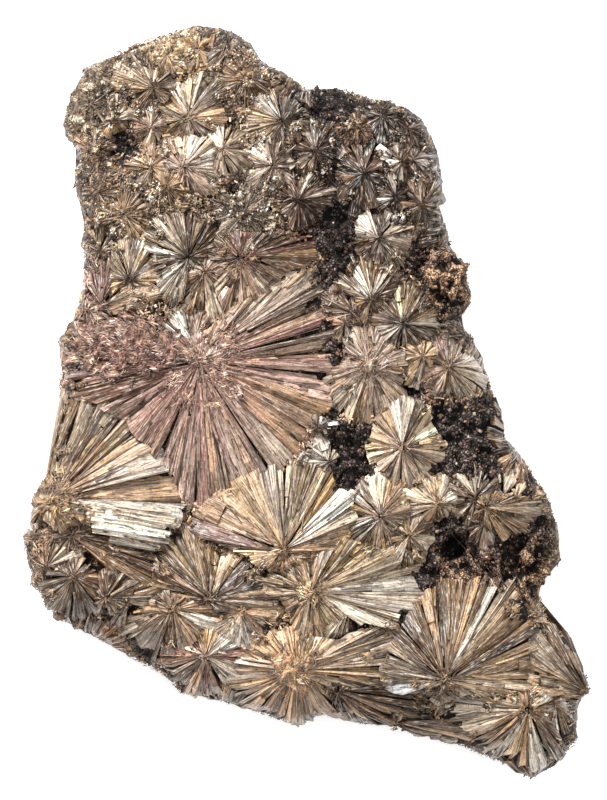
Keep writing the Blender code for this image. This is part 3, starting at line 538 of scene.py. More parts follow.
LOWER_FANS = (
    Fan("upper_spray", -4.1, -29.5, ((0, 11), (11, 13.2), (17, 14.2), (38, 16.5), (51, 16.7), (66, 17.5),
        (86, 16), (106, 16.2), (123, 16), (141, 17.5), (149, 19.4), (159, 19.9), (167, 19), (173, 12),
        (185, 6), (230, 3), (300, 4), (340, 6)), (TAN, OLIVE, CREAM), 1.6, 0.09, PEACH,
        (Sector(136, 172, (TAN, PINK, MAUVE, GREY), 2.6), Sector(102, 136, (TAN, CREAM, OLIVE), 1.8),
        Sector(62, 102, (GREY, OLIVE, PALE, CREAM), 1.2), Sector(45, 62, (OLIVE, TAN, GOLD, CREAM), 1.2),
        Sector(16, 45, (WHITE, PALE, WHITE), 1.6, 0.4), Sector(356, 16, (UMBER, TAN, OLIVE), 1.5))),
    Fan("long_spray", 1.4, -37.6, ((2, 21.3), (9, 21), (27, 19.4), (47, 15.4), (60, 13), (71, 8), (102, 6.6),
        (122, 8), (155, 8.1), (180, 10.5), (200, 5), (225, 4), (243, 7.3), (274, 8.6), (300, 11),
        (330, 13.2), (344, 18), (353, 20.5)), (TAN, CREAM, OLIVE), 1.4, 0.16, TAN,
        (Sector(358, 6, (WHITE, WHITE), 3.2, 0.9), Sector(6, 14, (CREAM, PALE), 1.4, 0.3),
        Sector(14, 36, (CREAM, TAN, OLIVE, PALE), 1.3), Sector(36, 54, (OLIVE, GOLD, PALE, UMBER), 1.4),
        Sector(54, 68, (PALE, GREY), 2.4, 0.3), Sector(68, 112, (TAN, OLIVE), 1.3),
        Sector(112, 135, (UMBER, WHITE, SOOT), 1), Sector(342, 358, (WHITE, PALE, WHITE, TAN), 1, 0.3),
        Sector(318, 342, (WHITE, PALE, WHITE), 1.2, 0.3), Sector(230, 318, (CREAM, PALE, TAN), 1.2))),
    Fan("peach_hub", -1.6, -53.4, ((0, 17.4), (19, 19.4), (29, 16.4), (36, 11), (60, 6.2), (90, 6.3),
        (140, 8.3), (173, 11.3), (186, 14.3), (200, 16), (216, 12.7), (241, 10.9), (268, 11.4), (297, 10.1),
        (315, 12), (328, 7), (335, 8.3), (349, 18.7)), (TAN, OLIVE, GREY), 1.2, 0.3, PEACH,
        (Sector(166, 192, (PALE, WHITE, TAN), 1.3), Sector(192, 222, (GREY, TAN, PALE), 1.2),
        Sector(222, 312, (UMBER, RUST, TAN, SOOT), 1.3), Sector(328, 340, (PALE, WHITE), 1, 0.3),
        Sector(340, 25, (OLIVE, GREY, TAN, CREAM), 0.9), Sector(25, 40, (PALE, CREAM), 1.3),
        Sector(40, 110, (CREAM, PALE), 1.1), Sector(115, 160, (RUST, PINK, CREAM), 1))),
    Fan("chevron", 8.6, -41.6, spray(216, 262, 8.6), (PALE, WHITE, CREAM, GREY), 0.8, 0.06, TAN),
    Fan("fibre_strip", 6.5, -57.6, spray(318, 358, 19, 2.5), (UMBER, RUST, SOOT, TAN), 0.6, 0.06, UMBER, (),
        0, -0.6),
    Fan("bottom_band", 17.8, -63.2, spray(328, 352, 16, 2.5), (TAN, UMBER, GREY), 1.3, 0.06, UMBER),
    Fan("white_up", 15, -22.8, ((59, 7.3), (80, 8.5), (98, 8.9), (116, 8.6), (135, 5), (158, 6.2),
        (186, 5.6), (205, 6.5), (223, 11), (244, 9.4), (275, 8.5), (300, 5), (0, 4.8)), (TAN, GREY, CREAM),
        1.5, 0.12, PINK, (Sector(90, 106, GLINT_TONES, 1.5, 0.4), Sector(106, 125, (PALE, GREY), 1.6),
        Sector(66, 90, (PALE, TAN)), Sector(145, 178, (GOLD, RUST, TAN), 1.5, 0.2),
        Sector(178, 192, GLINT_TONES, 0.8, 0.3), Sector(212, 236, (PALE, GREY), 2.2, 0.2),
        Sector(236, 290, (GOLD, CREAM, TAN), 1.4))),
    Fan("low_right", 20.7, -26.9, ((9, 6), (30, 3.5), (120, 3), (200, 4), (236, 8.8), (255, 7.6), (290, 5.7),
        (330, 4)), (TAN, PALE, OLIVE), 1.2, 0.12, TAN, (Sector(225, 262, (PALE, WHITE, OLIVE), 1.5),
        Sector(350, 25, (RUST, UMBER), 0.6))),
    Fan("pale_petals", 26.6, -20.4, ((0, 4.6), (27, 4.5), (64, 5.6), (95, 4), (121, 4.8), (150, 5.5),
        (173, 7.9), (195, 5), (270, 1.8)), (PALE, CREAM, TAN), 1.4, 0.1, TAN,
        (Sector(350, 35, GLINT_TONES, 1.2, 0.4), Sector(50, 80, (WHITE, GOLD), 1, 0.3))),
    Fan("grey_white", 34, -19.4, ((48, 5.4), (81, 6.6), (98, 7), (135, 6.1), (190, 5.7), (230, 3.5),
        (0, 2.4)), (GREY, PALE, UMBER), 1.1, 0.1, UMBER, (Sector(74, 108, GLINT_TONES, 1.6, 0.5),)),
    Fan("grey_uprights", 39.5, -19, spray(62, 105, 6.2), (GREY, UMBER, PALE), 1.2, 0.1, UMBER),
    Fan("glassy_oval", 36.1, -21, ((352, 10.4), (11, 8.6), (24, 6), (60, 2.5), (180, 2), (270, 4),
        (304, 6.4), (329, 8.6)), (TAN, OLIVE, GREY), 1, 0.35, TAN, (Sector(14, 40, (WHITE, PALE), 0.8),
        Sector(328, 338, (WHITE, TAN), 0.8)), 0.08, 0.9),
    Fan("brown_wedge", 42, -19.4, spray(46, 66, 5.6), (PINK, TAN), 1.6, 0.1, UMBER, (), 0, 0.5),
    Fan("white_down", 35.9, -24.3, ((230, 5.4), (250, 5), (270, 6.4), (292, 5.5), (310, 1.8), (90, 1.4),
        (215, 2)), (PALE, GREY, PINK), 1.3, 0.1, GREY, (Sector(262, 300, GLINT_TONES, 1.4, 0.3),), 0, 0.5),
    Fan("great_right", 27.8, -55, ((354, 17.6), (19, 18.4), (30, 19.8), (42, 22.2), (58, 22), (67, 22),
        (81, 18), (98, 16.3), (115, 14.2), (139, 12), (156, 12), (166, 12.4), (184, 13), (196, 12.5),
        (206, 6), (270, 3), (330, 6), (345, 17)), (TAN, GREY, OLIVE), 1.3, 0.13, RUST,
        (Sector(148, 188, (WHITE, WHITE, PALE, GREY), 1.5, 0.3), Sector(188, 202, (TAN, CREAM), 0.9),
        Sector(120, 148, (UMBER, GREY, TAN), 1.3), Sector(88, 120, (GREY, TAN, UMBER, PALE), 1.3),
        Sector(72, 88, (UMBER, TAN, GREY, RUST), 1.2), Sector(62, 72, (OLIVE, TAN, CREAM), 1.4),
        Sector(50, 62, (PALE, WHITE, TAN, GREY), 1.2), Sector(34, 50, (TAN, OLIVE, UMBER, CREAM), 1.3),
        Sector(24, 34, (UMBER, TAN, SOOT), 1.2), Sector(356, 24, (TAN, CREAM, PEACH, TAN), 1.7),
        Sector(336, 356, (PALE, GREY, CREAM), 1.3))),
    Fan("far_right", 55.6, -57.2, ((105, 9), (120, 12.5), (131, 13), (150, 11.5), (165, 10.4), (185, 10),
        (200, 8), (220, 3), (0, 3), (60, 5)), (CREAM, TAN, GREY), 1.6, 0.08, TAN,
        (Sector(115, 140, (GREY, UMBER, PALE)),)),
    Fan("cream_right", 44.4, -61.3, ((15, 6), (90, 3), (140, 5), (160, 12.6), (171, 16), (184, 17.8),
        (192, 15.2), (204, 11), (215, 13.2), (231, 11), (251, 12), (270, 13.4), (279, 12.6), (291, 11),
        (313, 10), (340, 5)), (CREAM, TAN, WHITE, UMBER), 1.3, 0.12, TAN,
        (Sector(154, 188, (CREAM, PALE, WHITE, UMBER), 1.2), Sector(188, 198, (PALE, WHITE, GREY), 1.2),
        Sector(208, 246, (TAN, WHITE, UMBER, CREAM), 1.2), Sector(246, 262, (TAN, OLIVE), 1.6),
        Sector(262, 290, (WHITE, UMBER, TAN), 1.1), Sector(290, 330, (WHITE, UMBER, PALE), 0.9))),
    Fan("edge_small", 49.9, -59.9, ((252, 6.4), (291, 9.5), (311, 6.8), (335, 4.5), (0, 4), (90, 2),
        (200, 2.5)), (GREY, WHITE, UMBER, TAN), 0.9, 0.1, UMBER),
)

REGIONS = {"upper": TOP_FANS, "right": RIGHT_FANS, "middle": MIDDLE_FANS, "lower_left": LEFT_FANS}
FACE_FANS = (*TOP_FANS, *RIGHT_FANS, *MIDDLE_FANS, *LEFT_FANS, *LOWER_FANS)

# Darker and lighter parts of the face: x, y, spread, and the powers of e that red, green and blue take.
SHADES = (
    (9, 48, 16, -2.05, -2.3, -2.42), (-38, 56, 12, -0.24, -0.32, -0.36), (-14, 66, 8, -0.22, -0.3, -0.36),
    (-24, 50, 9, 0.16, 0.1, 0.08), (-36, 36, 10, -0.2, -0.26, -0.26), (-37, 9, 10, -0.3, -0.52, -0.4),
    (14, 14, 14, -0.16, -0.2, -0.18), (-6, 12, 13, 0.38, 0.38, 0.46), (-14, -8, 12, 0.3, 0.24, 0.3),
    (-36, -20, 10, 0.26, 0.24, 0.26), (-42, -42, 12, 0.26, 0.14, 0.08), (-16, -50, 14, 0.38, 0.34, 0.36),
    (-6, -20, 12, -0.08, -0.08, 0.02), (28, -50, 14, -0.1, -0.13, -0.18), (44, -64, 11, 0.42, 0.38, 0.32),
    (14, -10, 10, 0.1, 0.04, 0.08), (12, 30, 12, -0.12, -0.18, -0.16), (8, -44, 11, 0.28, 0.26, 0.3),
    (32, -30, 6, -0.25, -0.4, -0.4), (44, -33, 7, -0.45, -0.6, -0.65), (-19, 36, 12, -0.15, -0.15, -0.15),
)

# Painted shadows: small spots between the fans where the colours are darkened for the shade that falls
# there.
PAINTED_SHADOWS = spots(
    (-26, 61.4, 2.6), (-38, 59.4, 2.6), (-41, 61.2, 2), (-17.5, 60.6, 2.4), (-42.4, 43.4, 2.8),
    (-13.4, 45.2, 2.4), (-39, 49.6, 3), (-16.2, 72.2, 2.6), (-30.4, 50.8, 1.8), (-33.6, 43, 1.8),
    (-1.6, 58.8, 2.6), (9.4, 58.4, 3.4), (3.6, 60.6, 3.6), (-3.6, 48.2, 2.2), (14.2, 52.2, 2.6),
    (6.8, 52.6, 2.2), (21, 58, 2.6), (24.4, 50.2, 2.2), (6.2, 38, 3.2), (16.4, 37.6, 2.4), (1, 36, 2.4),
    (24.6, 32, 2.6), (19.2, 44.6, 2), (5.6, 45.6, 2), (-20.6, 30.8, 2.4), (-15, 38, 2.4), (-27.2, 19.4, 2.2),
    (-35.8, 24.2, 2), (-40.4, 33.2, 2.4), (-16.8, 33.4, 2), (11.6, 25.6, 2.2), (19.4, 22.4, 2),
    (-33.2, -0.6, 2.4), (-23.6, 7.4, 1.8), (-31.4, -29.4, 2.6), (-45, -41.4, 3), (-37, -37, 2.2),
    (-19.6, -38.4, 2), (-3.6, -39.4, 2.2), (16, -57.4, 3), (22, -61, 2.6),
)

# Bundles of parallel blades: x and y of the first one's start, direction, length, number, width and lift.
SLABS = (
    (-42, -20.2, 352, 16, 6, 1.1, 2.6), (-39.1, -26.6, 347, 10.6, 2, 0.9, 2.3),
    (-40, -21, 351, 5.2, 3, 0.8, 2.9),
)

# Places where bare rock shows between the fans.
BARE = spots(
    (4.4, 60, 4.4), (-0.4, 60.8, 2.4), (8.4, 58.2, 2.2), (-36.3, 52.2, 2.8), (-34.6, 50.2, 1.8),
    (-3.6, 44.2, 1.2), (-3.8, 57.5, 1), (5.9, 36, 4.2), (7, 31.6, 4.4), (3.4, 33.8, 2.4), (4.6, 25.2, 2.6),
    (7, 27.6, 2), (4.7, 15.6, 1.6), (6.8, 9.6, 3.2), (9.6, 11.6, 1.6), (27, 25, 5), (29, 19.6, 3.6),
    (20.8, 26.6, 2.4), (22.6, 30.6, 2.2), (5, -3, 1.6), (7.6, -7.4, 3.6), (9.8, -12.6, 4.6), (11.8, -6, 2.8),
    (7.6, -16, 2.6), (21.4, 2.6, 2), (28, -5, 4.4), (34, -5, 5.6), (31, -11, 4.6), (38, -11, 5.4),
    (25.6, -13, 2.2), (44, -16.6, 3), (28.4, -25.4, 3.6), (31, -28.4, 3.6), (27, -30.6, 3.6),
    (32.4, -33.4, 4.2), (38, -32.2, 4.6), (43.6, -30, 4.8), (47, -26, 3.6), (46, -36, 4.2), (24, -35, 3),
    (19.8, -43, 1.7), (15.6, -43.2, 1.4), (-7.4, -34, 1.3), (-12.4, -36.4, 1.6), (-8.2, -45, 1.4),
    (-24.6, -21.6, 0.9), (-41, 33.4, 1.4), (10.6, 51.6, 1.6), (14.6, 51.8, 1.4), (22.2, 51.2, 1.4),
    (-3, 48.4, 1.2), (-2.6, 46, 1), (17.6, 44.8, 1.1), (20.8, 44.4, 1.1), (6.4, 48.6, 1.2), (6.8, 43.4, 1.2),
    (13, 38.4, 1), (-38.8, 49.4, 1.3), (-36.6, 47.4, 1.1), (-46, 46.4, 1.3), (-45.4, 50.4, 1.1),
    (-41.6, 53, 0.9), (-33.4, 66.4, 0.9), (-37, 61, 1.2), (-34.6, 60.2, 1), (-26.6, 65.4, 0.9),
    (-15.4, 65, 0.9), (-12.6, 59.2, 1), (-19.4, 41.4, 0.8), (-14.4, 41.8, 1), (-27, 36.8, 0.9),
    (-9, 43.4, 0.9), (-43.6, 37, 1), (-40.4, 35.6, 0.8), (-9.4, 71, 0.9), (-16.6, 35.6, 0.8),
    (-6.6, 38.6, 0.9),
)


# Places where broken crystal hides the fans.
ROUGH = spots(
    (-24.7, 70.4, 4.6), (-14.3, 71.9, 4.2, 0.2), (-11.8, 65.4, 3.4), (-42, 63.4, 4.6), (-44.5, 57, 4.6),
    (-41.6, 50.4, 4.4), (-42.6, 44.6, 4.4), (-36, 62, 2.6), (-37, 45, 3), (-33, 50, 2.2), (-9.4, 51.6, 2.6),
    (-7, 42.2, 4), (-12.4, 38.2, 5.6), (-19.6, 37.6, 3), (-31, 41.6, 3), (-40.4, 38.6, 3.4), (-43, 32, 2.2),
    (10.2, 54.8, 3.4), (15.8, 51.8, 2), (-53.6, -28, 3.4), (-49.8, -19, 4.6, 0.3), (-44.6, -22.6, 2.8),
    (-3.4, -53, 3.6, 0.9), (33.6, -58.3, 1.5), (37.6, -58.6, 1.6), (41.8, -58.6, 1.8), (46.2, -58.2, 1.7),
    (50.2, -58, 1.6), (23.2, -56.6, 2.6), (27.8, -55.6, 1.8), (1.4, -37.8, 2.8), (-4.4, -29.8, 1.8),
    (-18.8, -39.4, 1.6), (-38.6, -29, 2.4), (-35, 17.4, 2.4), (-40.6, 17.6, 2.4), (-21.6, 9.6, 2.8, 0.4),
    (-17.4, 8.6, 2.8, 0.4), (13.4, 6.8, 3, 0.4), (-0.4, -11.4, 1.8), (-0.6, -55.4, 2.6, 0.8),
    (27.2, -60.4, 2.6, 0.2), (23.4, -60.2, 2.2, 0.2), (41, -41.4, 2), (8.6, 40.6, 2), (16.4, 46.6, 1.7),
    (3.8, 46.8, 1.9), (24.2, 44, 1.6), (12.2, 51.4, 1.9), (20.2, 37.4, 1.7), (-3, 53, 1.7), (2, 56.2, 1.9),
    (9, 57.2, 2.2), (9, 35.4, 1.6), (18, 29.4, 1.6), (0.6, 43.6, 1.4), (23, 34.4, 1.5), (15.4, 26.4, 1.6),
    (22.6, 57, 2), (0.6, -51.6, 2.2, 0.6), (-29, 11.6, 3.4, 0.5), (-34, 12.6, 4.2, 0.7),
    (-39.6, 12.4, 4.4, 0.7), (-44.4, 13, 3.6, 0.5), (-36.5, 8.4, 3.2, 0.5), (-31, 6.6, 2.4, 0.4),
    (-43, 7.6, 2.6, 0.3), (-14.6, 25.4, 2.2), (-10.8, 29.4, 2), (-41, 14.8, 2.6), (-1.4, 54.4, 1.8),
    (22.4, 51.8, 1.8), (18.6, 36.4, 1.8), (5.6, 20.6, 1.6), (-14.6, 57.6, 2), (-8.6, 60.2, 1.8),
    (-28.6, 33, 1.6), (-16, 33.6, 1.6), (26.8, -23.4, 1.6), (20.4, -20.4, 1.6), (-35.4, 66, 3.2),
    (-30.6, 69.6, 2.8), (-19, 66.2, 3), (-15.6, 61, 2.8), (-38.6, 58.8, 2.4), (-40.6, 54.4, 2.8),
    (-33.6, 58.2, 2), (-30.4, 58.8, 1.8), (-38.4, 47, 3), (-34, 43.4, 2.6), (-28.4, 50.4, 1.8),
    (-27.8, 38, 3), (-23.6, 38.8, 2.8), (-16.4, 43.4, 2.6), (-11.4, 45, 2), (-38.6, 42.6, 2.6),
    (-37.4, 34, 2.6), (-32, 36.6, 2.4), (-41.6, 27, 2.2), (-38, 29.4, 2.2), (-19, 55, 1.5), (-12, 60, 2.2),
    (-8, 65.6, 2.6), (-16, 29.6, 2), (-5.6, 35.6, 2.6), (-2, 45.6, 1.6), (6.4, 52.4, 2), (6, 42.4, 1.6),
    (14.6, 49.6, 1.6), (18.6, 53, 1.8), (22.6, 44.4, 1.6), (13.4, 39, 1.6), (20, 34.6, 1.8),
    (9.4, 27.2, 1.4), (17.4, 25, 1.6), (23.4, 18.6, 1.6), (8.6, 2.4, 1.6), (22.6, -1.6, 1.8),
    (24.4, 3.6, 1.6), (-33, 21, 2), (-25.6, 12.6, 2), (-26.6, 8.6, 2.2), (-33.6, 9.6, 3, 0.5),
    (-38.6, 5.6, 2.4, 0.3), (-45.8, 9.6, 2.6), (-25.6, 4.6, 2.2), (-21, 4, 2.4), (-17, 4.6, 2.2),
    (-15.6, 11.6, 2.2), (-20.6, 13.6, 1.6), (-33.6, 3, 2), (-29.6, 15.6, 1.8), (-13.6, 1.6, 1.8),
    (-18.6, 0, 1.8), (-23.6, 0.6, 1.8), (-10.6, -35, 1.9), (-8.6, -32.6, 1.3), (-9.6, -46.6, 1.8),
    (-8, -43.6, 1.3), (17, -44.6, 1.6), (-28, -33.6, 1.8), (-31.6, -29.6, 1.8), (-35.6, -28, 2),
    (-42.6, -25, 2), (-45, -28.6, 1.8), (-25, -24, 1.2), (12.6, -50.6, 1.6), (36.6, -60.6, 1.4),
    (46, -56, 1.4), (22, -30.6, 1.6), (12.6, -29.6, 1.4), (30.6, -16.6, 1.2), (-13.6, -44, 1.4),
    (-0.6, -46.6, 1.6), (-27.6, -48.6, 1.6),
)


@dataclass(frozen=True)
class Relief:
    """The specimen's general surface, unrolled: plan distances past the outline run down the side.

    Attributes:
        thickness: Height of the crystals' level at the middle.
        waist: Height at which the outline is widest.
        edge_power: How late the face rounds over towards the outline.
        crust_share: Share of the outline that the surface reaches at the waist.
        foot: Height of the lowest crystals.
        ceiling: Height over which whatever stands up is pressed down.
        calm: How much flatter everything lies on the sides.
        bearings: Directions from the middle at which the outline is measured, in radians.
        table: The outline's distance at each of them.
    """

    thickness: float = 27.0
    waist: float = 14.0
    edge_power: float = 6.0
    crust_share: float = 0.985
    foot: float = 5.0
    ceiling: float = 33.8
    calm: float = 0.6
    bearings: Array = field(default_factory=lambda: np.linspace(-math.pi, math.pi, 1441))
    table: Array = field(init=False)

    def __post_init__(self) -> None:
        """Measure the outline at each of the bearings."""
        starts = np.array(OUTLINE)
        sides = np.roll(starts, -1, axis=0) - starts
        ways = np.stack([np.cos(self.bearings), np.sin(self.bearings)], axis=1)
        cross = ways[:, :1] * sides[:, 1] - ways[:, 1:] * sides[:, 0]
        cross = np.where(np.abs(cross) < 1e-9, 1e-9, cross)
        along = (starts[:, 0] * sides[:, 1] - starts[:, 1] * sides[:, 0]) / cross
        across = (starts[:, 0] * ways[:, 1:] - starts[:, 1] * ways[:, :1]) / cross
        hit = (along > 0) & (across >= -1e-6) & (across <= 1 + 1e-6)
        object.__setattr__(self, "table", np.where(hit, along, 0).max(axis=1))

    def outline_radius(self, x: Array, y: Array) -> Array:
        """Give the distance from the middle to the outline, in the directions of some places."""
        return np.interp(np.arctan2(y, x), self.bearings, self.table)

    def height(self, x: Array, y: Array) -> Array:
        """Give the height of the face over some places.

        Args:
            x: Places.
            y: Places.

        Returns:
            The heights.
        """
        share = np.minimum(np.hypot(x, y) / self.outline_radius(x, y), 1.0)
        rounding = np.sqrt(np.maximum(0.0, 1.0 - share**self.edge_power))
        swell = sum(h * bell(x, y, sx, sy, 2 * s**2) for sx, sy, h, s in SWELLS)
        swell = swell - self.creases(x, y)
        return self.waist + (self.thickness - self.waist + swell) * rounding

    def creases(self, x: Array, y: Array) -> Array:
        """Give how deep the creases are at some places.

        Args:
            x: Places.
            y: Places.

        Returns:
            The depths.
        """
        depth = np.zeros(np.shape(x))
        for ax, ay, bx, by, width, deep in FOLDS:
            run = math.hypot(bx - ax, by - ay)
            ux, uy = (bx - ax) / run, (by - ay) / run
            along = np.clip((x - ax) * ux + (y - ay) * uy, 0, run)
            away = (x - ax - along * ux) ** 2 + (y - ay - along * uy) ** 2
            depth = np.maximum(depth, deep * np.exp(-away / width**2))
        return depth

    def normals(self, x: Array, y: Array) -> Array:
        """Give the ways in which levels are measured, up on the face and outwards on the side.

        Args:
            x: Places.
            y: Places.

        Returns:
            Unit vectors.
        """
        reach = self.outline_radius(x, y)
        distance = np.hypot(x, y)
        facing = np.clip((distance - reach) / 6 + 0.8, 0.0, 1.0)
        spread = np.maximum(distance, 1e-6)
        ways = np.stack([facing * x / spread, facing * y / spread, 1 - facing], axis=-1)
        return ways / np.linalg.norm(ways, axis=-1, keepdims=True)

    def points(self, x: Array, y: Array, level: Array) -> Array:
        """Give the points at some levels above the surface over some places.

        Args:
            x: Places in the unrolled plan.
            y: Places in the unrolled plan.
            level: Distances above the crystals' general surface.

        Returns:
            Points, in millimetres.
        """
        reach = self.outline_radius(x, y)
        distance = np.maximum(np.hypot(x, y), 1e-6)
        inside = np.minimum(distance, reach) * self.crust_share / distance
        z = np.where(distance < reach, self.height(x, y), self.waist - (distance - reach))
        base = np.stack([x * inside, y * inside, z], axis=-1)
        level = level * (1 - self.calm * np.clip((distance - reach + 2.5) / 4, 0, 1) * (level > 0))
        points = base + level[..., None] * self.normals(x, y)
        over = np.maximum(points[..., 2] - self.ceiling, 0)
        points[..., 2] -= 0.7 * over
        return points


@dataclass
class Growth:
    """Shares out the surface between the fans, each with the room that it grew into.

    Attributes:
        relief: The surface.
        fans: Every fan.
        slope: How steeply a fan climbs from its rim to its hub.
        least: What a fan's hub stands up at least.
        seam: Room left between the blades of neighbouring fans.
        step: How finely the seams are looked for.
        directions: How many directions of a fan are looked at.
        spare: How much further than its shape a fan grows where nothing stops it.
    """

    relief: Relief
    fans: tuple[Fan, ...]
    slope: float = 0.13
    least: float = 0.9
    seam: float = -0.8
    step: float = 0.15
    directions: int = 360
    spare: float = 1.2

    def margin(self, fan: Fan, x: Array, y: Array) -> Array:
        """Give how far outside a fan's shape some places are."""
        dx, dy = x - fan.x, y - fan.y
        return np.hypot(dx, dy) - fan.reach(np.degrees(np.arctan2(dy, dx)))

    def reaches(self, fan: Fan) -> Array:
        """Give how far a fan's blades can grow in each direction.

        Args:
            fan: The fan.

        Returns:
            Distances, for evenly spread directions.
        """
        turn = np.linspace(0, 2 * math.pi, self.directions, endpoint=False)
        own = fan.reach(np.degrees(turn))[:, None]
        out = np.arange(self.step, fan.radius + self.spare, self.step)
        x = fan.x + out[None, :] * np.cos(turn)[:, None]
        y = fan.y + out[None, :] * np.sin(turn)[:, None]
        foot = self.relief.outline_radius(x, y) + self.relief.waist - self.relief.foot
        margin = out[None, :] - own
        stopped = (np.hypot(x, y) > foot) | (margin > self.spare)
        for rival in self.fans:
            apart = math.hypot(rival.x - fan.x, rival.y - fan.y)
            if rival is not fan and apart < rival.radius + fan.radius + 3:
                stopped |= self.margin(rival, x, y) < np.minimum(margin, self.spare)
        for spot in BARE:
            stopped |= np.hypot(x - spot.x, y - spot.y) - spot.radius < np.minimum(margin, 0)
        first = np.where(stopped.any(axis=1), stopped.argmax(axis=1), len(out) - 1)
        return np.maximum(out[first] - self.seam, self.step)

    def level(self, fan: Fan, dx: Array, dy: Array) -> Array:
        """Give a fan's general level at some places, measured from its hub.

        Args:
            fan: The fan.
            dx: How far right of its hub the places are.
            dy: How far above its hub they are.

        Returns:
            The levels.
        """
        distance = np.hypot(dx, dy)
        lean_x, lean_y = fan.lean
        share = np.minimum(distance / fan.radius, 1.0)
        dome = fan.dome * fan.radius * (np.sqrt(1 - 0.98 * share**2) - 0.3)
        rise = self.slope * (fan.radius - distance) + self.least * (1 - share)
        return rise + dome + fan.lift + lean_x * dx + lean_y * dy

    def owners(self, x: Array, y: Array) -> tuple[Array, Array]:
        """Say which fan holds some places.

        Args:
            x: Places.
            y: Places.

        Returns:
            The number of the fan at each place, and how far the place is from the next fan's ground.
        """
        margins = np.stack([self.margin(fan, x, y) for fan in self.fans])
        order = np.argsort(margins, axis=0)[:2]
        first, second = np.take_along_axis(margins, order, axis=0)
        return order[0], second - first

    def ground(self, x: Array, y: Array) -> tuple[Array, Array, Array]:
        """Give the crystals' level at some places, whose fan it is, and how far off the next one is.

        Args:
            x: Places.
            y: Places.

        Returns:
            The level, the number of the fan, and the distance to the next fan's ground.
        """
        owner, apart = self.owners(x, y)
        level = np.zeros(len(x))
        for index, fan in enumerate(self.fans):
            here = owner == index
            level[here] = self.level(fan, x[here] - fan.x, y[here] - fan.y)
        return level, owner, apart

    def cover(self, x: Array, y: Array) -> tuple[Array, Array]:
        """Say what covers some places.

        Args:
            x: Places.
            y: Places.

        Returns:
            How far inside the crystals each place is, and how far inside a bare patch.
        """
        crystal = np.full(x.shape, -50.0)
        for fan in self.fans:
            crystal = np.maximum(crystal, -self.margin(fan, x, y))
        bare = np.full(x.shape, -50.0)
        for spot in BARE:
            bare = np.maximum(bare, spot.radius - np.hypot(x - spot.x, y - spot.y))
        side = np.hypot(x, y) - self.relief.outline_radius(x, y) - 4.0
        return crystal, np.maximum(bare, np.where(crystal < 0, side, -50.0))


@dataclass
class Template:
    """A small shape that is repeated many times, in shares of its own length, width and depth.

    Attributes:
        corners: Its corners.
        faces: Its faces, as triangles.
    """

    corners: Array
    faces: Array

    @classmethod
    def from_bmesh(cls, bm: bmesh.types.BMesh) -> "Template":
        """Read a shape out of a bmesh and free it.

        Args:
            bm: The closed shape.

        Returns:
            The template.
        """
        bmesh.ops.recalc_face_normals(bm, faces=bm.faces)
        bmesh.ops.triangulate(bm, faces=bm.faces)
        bm.verts.index_update()
        corners = np.array([v.co[:] for v in bm.verts])
        faces = np.array([[v.index for v in f.verts] for f in bm.faces])
        bm.free()
        return cls(corners, faces)

    @classmethod
    def lath(cls, lengths: int, strips: int) -> "Template":
        """Make a lath along x from 0 to 1, across y from -0.5 to 0.5 and down z from 0 to -1.

        Args:
            lengths: How many faces long it is.
            strips: How many faces wide it is.

        Returns:
            The lath.
        """
        bm = bmesh.new()
        bmesh.ops.create_grid(bm, x_segments=lengths, y_segments=strips, size=0.5)
        bmesh.ops.translate(bm, vec=(0.5, 0, 0), verts=bm.verts)
        top = set(bm.faces)
        rim = [e for e in bm.edges if e.is_boundary]
        down = bmesh.ops.extrude_edge_only(bm, edges=rim)["geom"]
        low = [g for g in down if isinstance(g, bmesh.types.BMVert)]
        bmesh.ops.translate(bm, vec=(0, 0, -1), verts=low)
        base = [g for g in down if isinstance(g, bmesh.types.BMEdge) and g.is_boundary]
        bmesh.ops.contextual_create(bm, geom=base)
        steadied(bm, top)
        return cls.from_bmesh(bm)

    @classmethod
    def crumb(cls) -> "Template":
        """Make a rough ball of diameter 1 about its middle.

        Returns:
            The template.
        """
        bm = bmesh.new()
        bmesh.ops.create_icosphere(bm, subdivisions=1, radius=0.5)
        return cls.from_bmesh(bm)

    @classmethod
    def shard(cls) -> "Template":
        """Make a body with eight faces and of diameter 1 about its middle.

        Returns:
            The template.
        """
        bm = bmesh.new()
        bmesh.ops.create_uvsphere(bm, u_segments=4, v_segments=2, radius=0.5)
        return cls.from_bmesh(bm)

    @classmethod
    def splinter(cls) -> "Template":
        """Make a box of side 1 about its middle, which becomes a splinter when stretched.

        Returns:
            The template.
        """
        bm = bmesh.new()
        bmesh.ops.create_cube(bm, size=1.0)
        return cls.from_bmesh(bm)


def joined_mesh(
    name: str, template: Template, points: Array, tint: Array, form: Array, uv: Array
) -> Piece:
    """Make one object from many copies of a template.

    Args:
        name: Name of the object.
        template: The shape that is repeated.
        points: Corners of every copy in millimetres, as copies x corners x 3.
        tint: Colour and stain at every corner, as copies x corners x 4.
        form: Share along, distance from the edge, chance and depth down the side, for painted shade, at
            every corner.
        uv: Pattern coordinates at every corner, as copies x corners x 2.

    Returns:
        The object.
    """
    copies, corners = points.shape[:2]
    faces = template.faces[None] + (np.arange(copies) * corners)[:, None, None]
    faces = faces.reshape(-1, 3)
    mesh = bpy.data.meshes.new(name)
    mesh.vertices.add(copies * corners)
    mesh.vertices.foreach_set("co", (points * MM).astype(np.float32).ravel())
    mesh.loops.add(faces.size)
    mesh.loops.foreach_set("vertex_index", faces.ravel().astype(np.int32))
    mesh.polygons.add(len(faces))
    mesh.polygons.foreach_set("loop_start", np.arange(0, faces.size, 3, dtype=np.int32))
    mesh.update(calc_edges=True)
    for layer, values in (("tint", tint), ("form", form)):
        colours = mesh.color_attributes.new(layer, "FLOAT_COLOR", "POINT")
        colours.data.foreach_set("color", values.astype(np.float32).ravel())
    grain = mesh.uv_layers.new(name="grain")
    grain.data.foreach_set("uv", uv.reshape(-1, 2)[faces.ravel()].astype(np.float32).ravel())
    mesh.shade_flat()
    return placed(name, mesh)


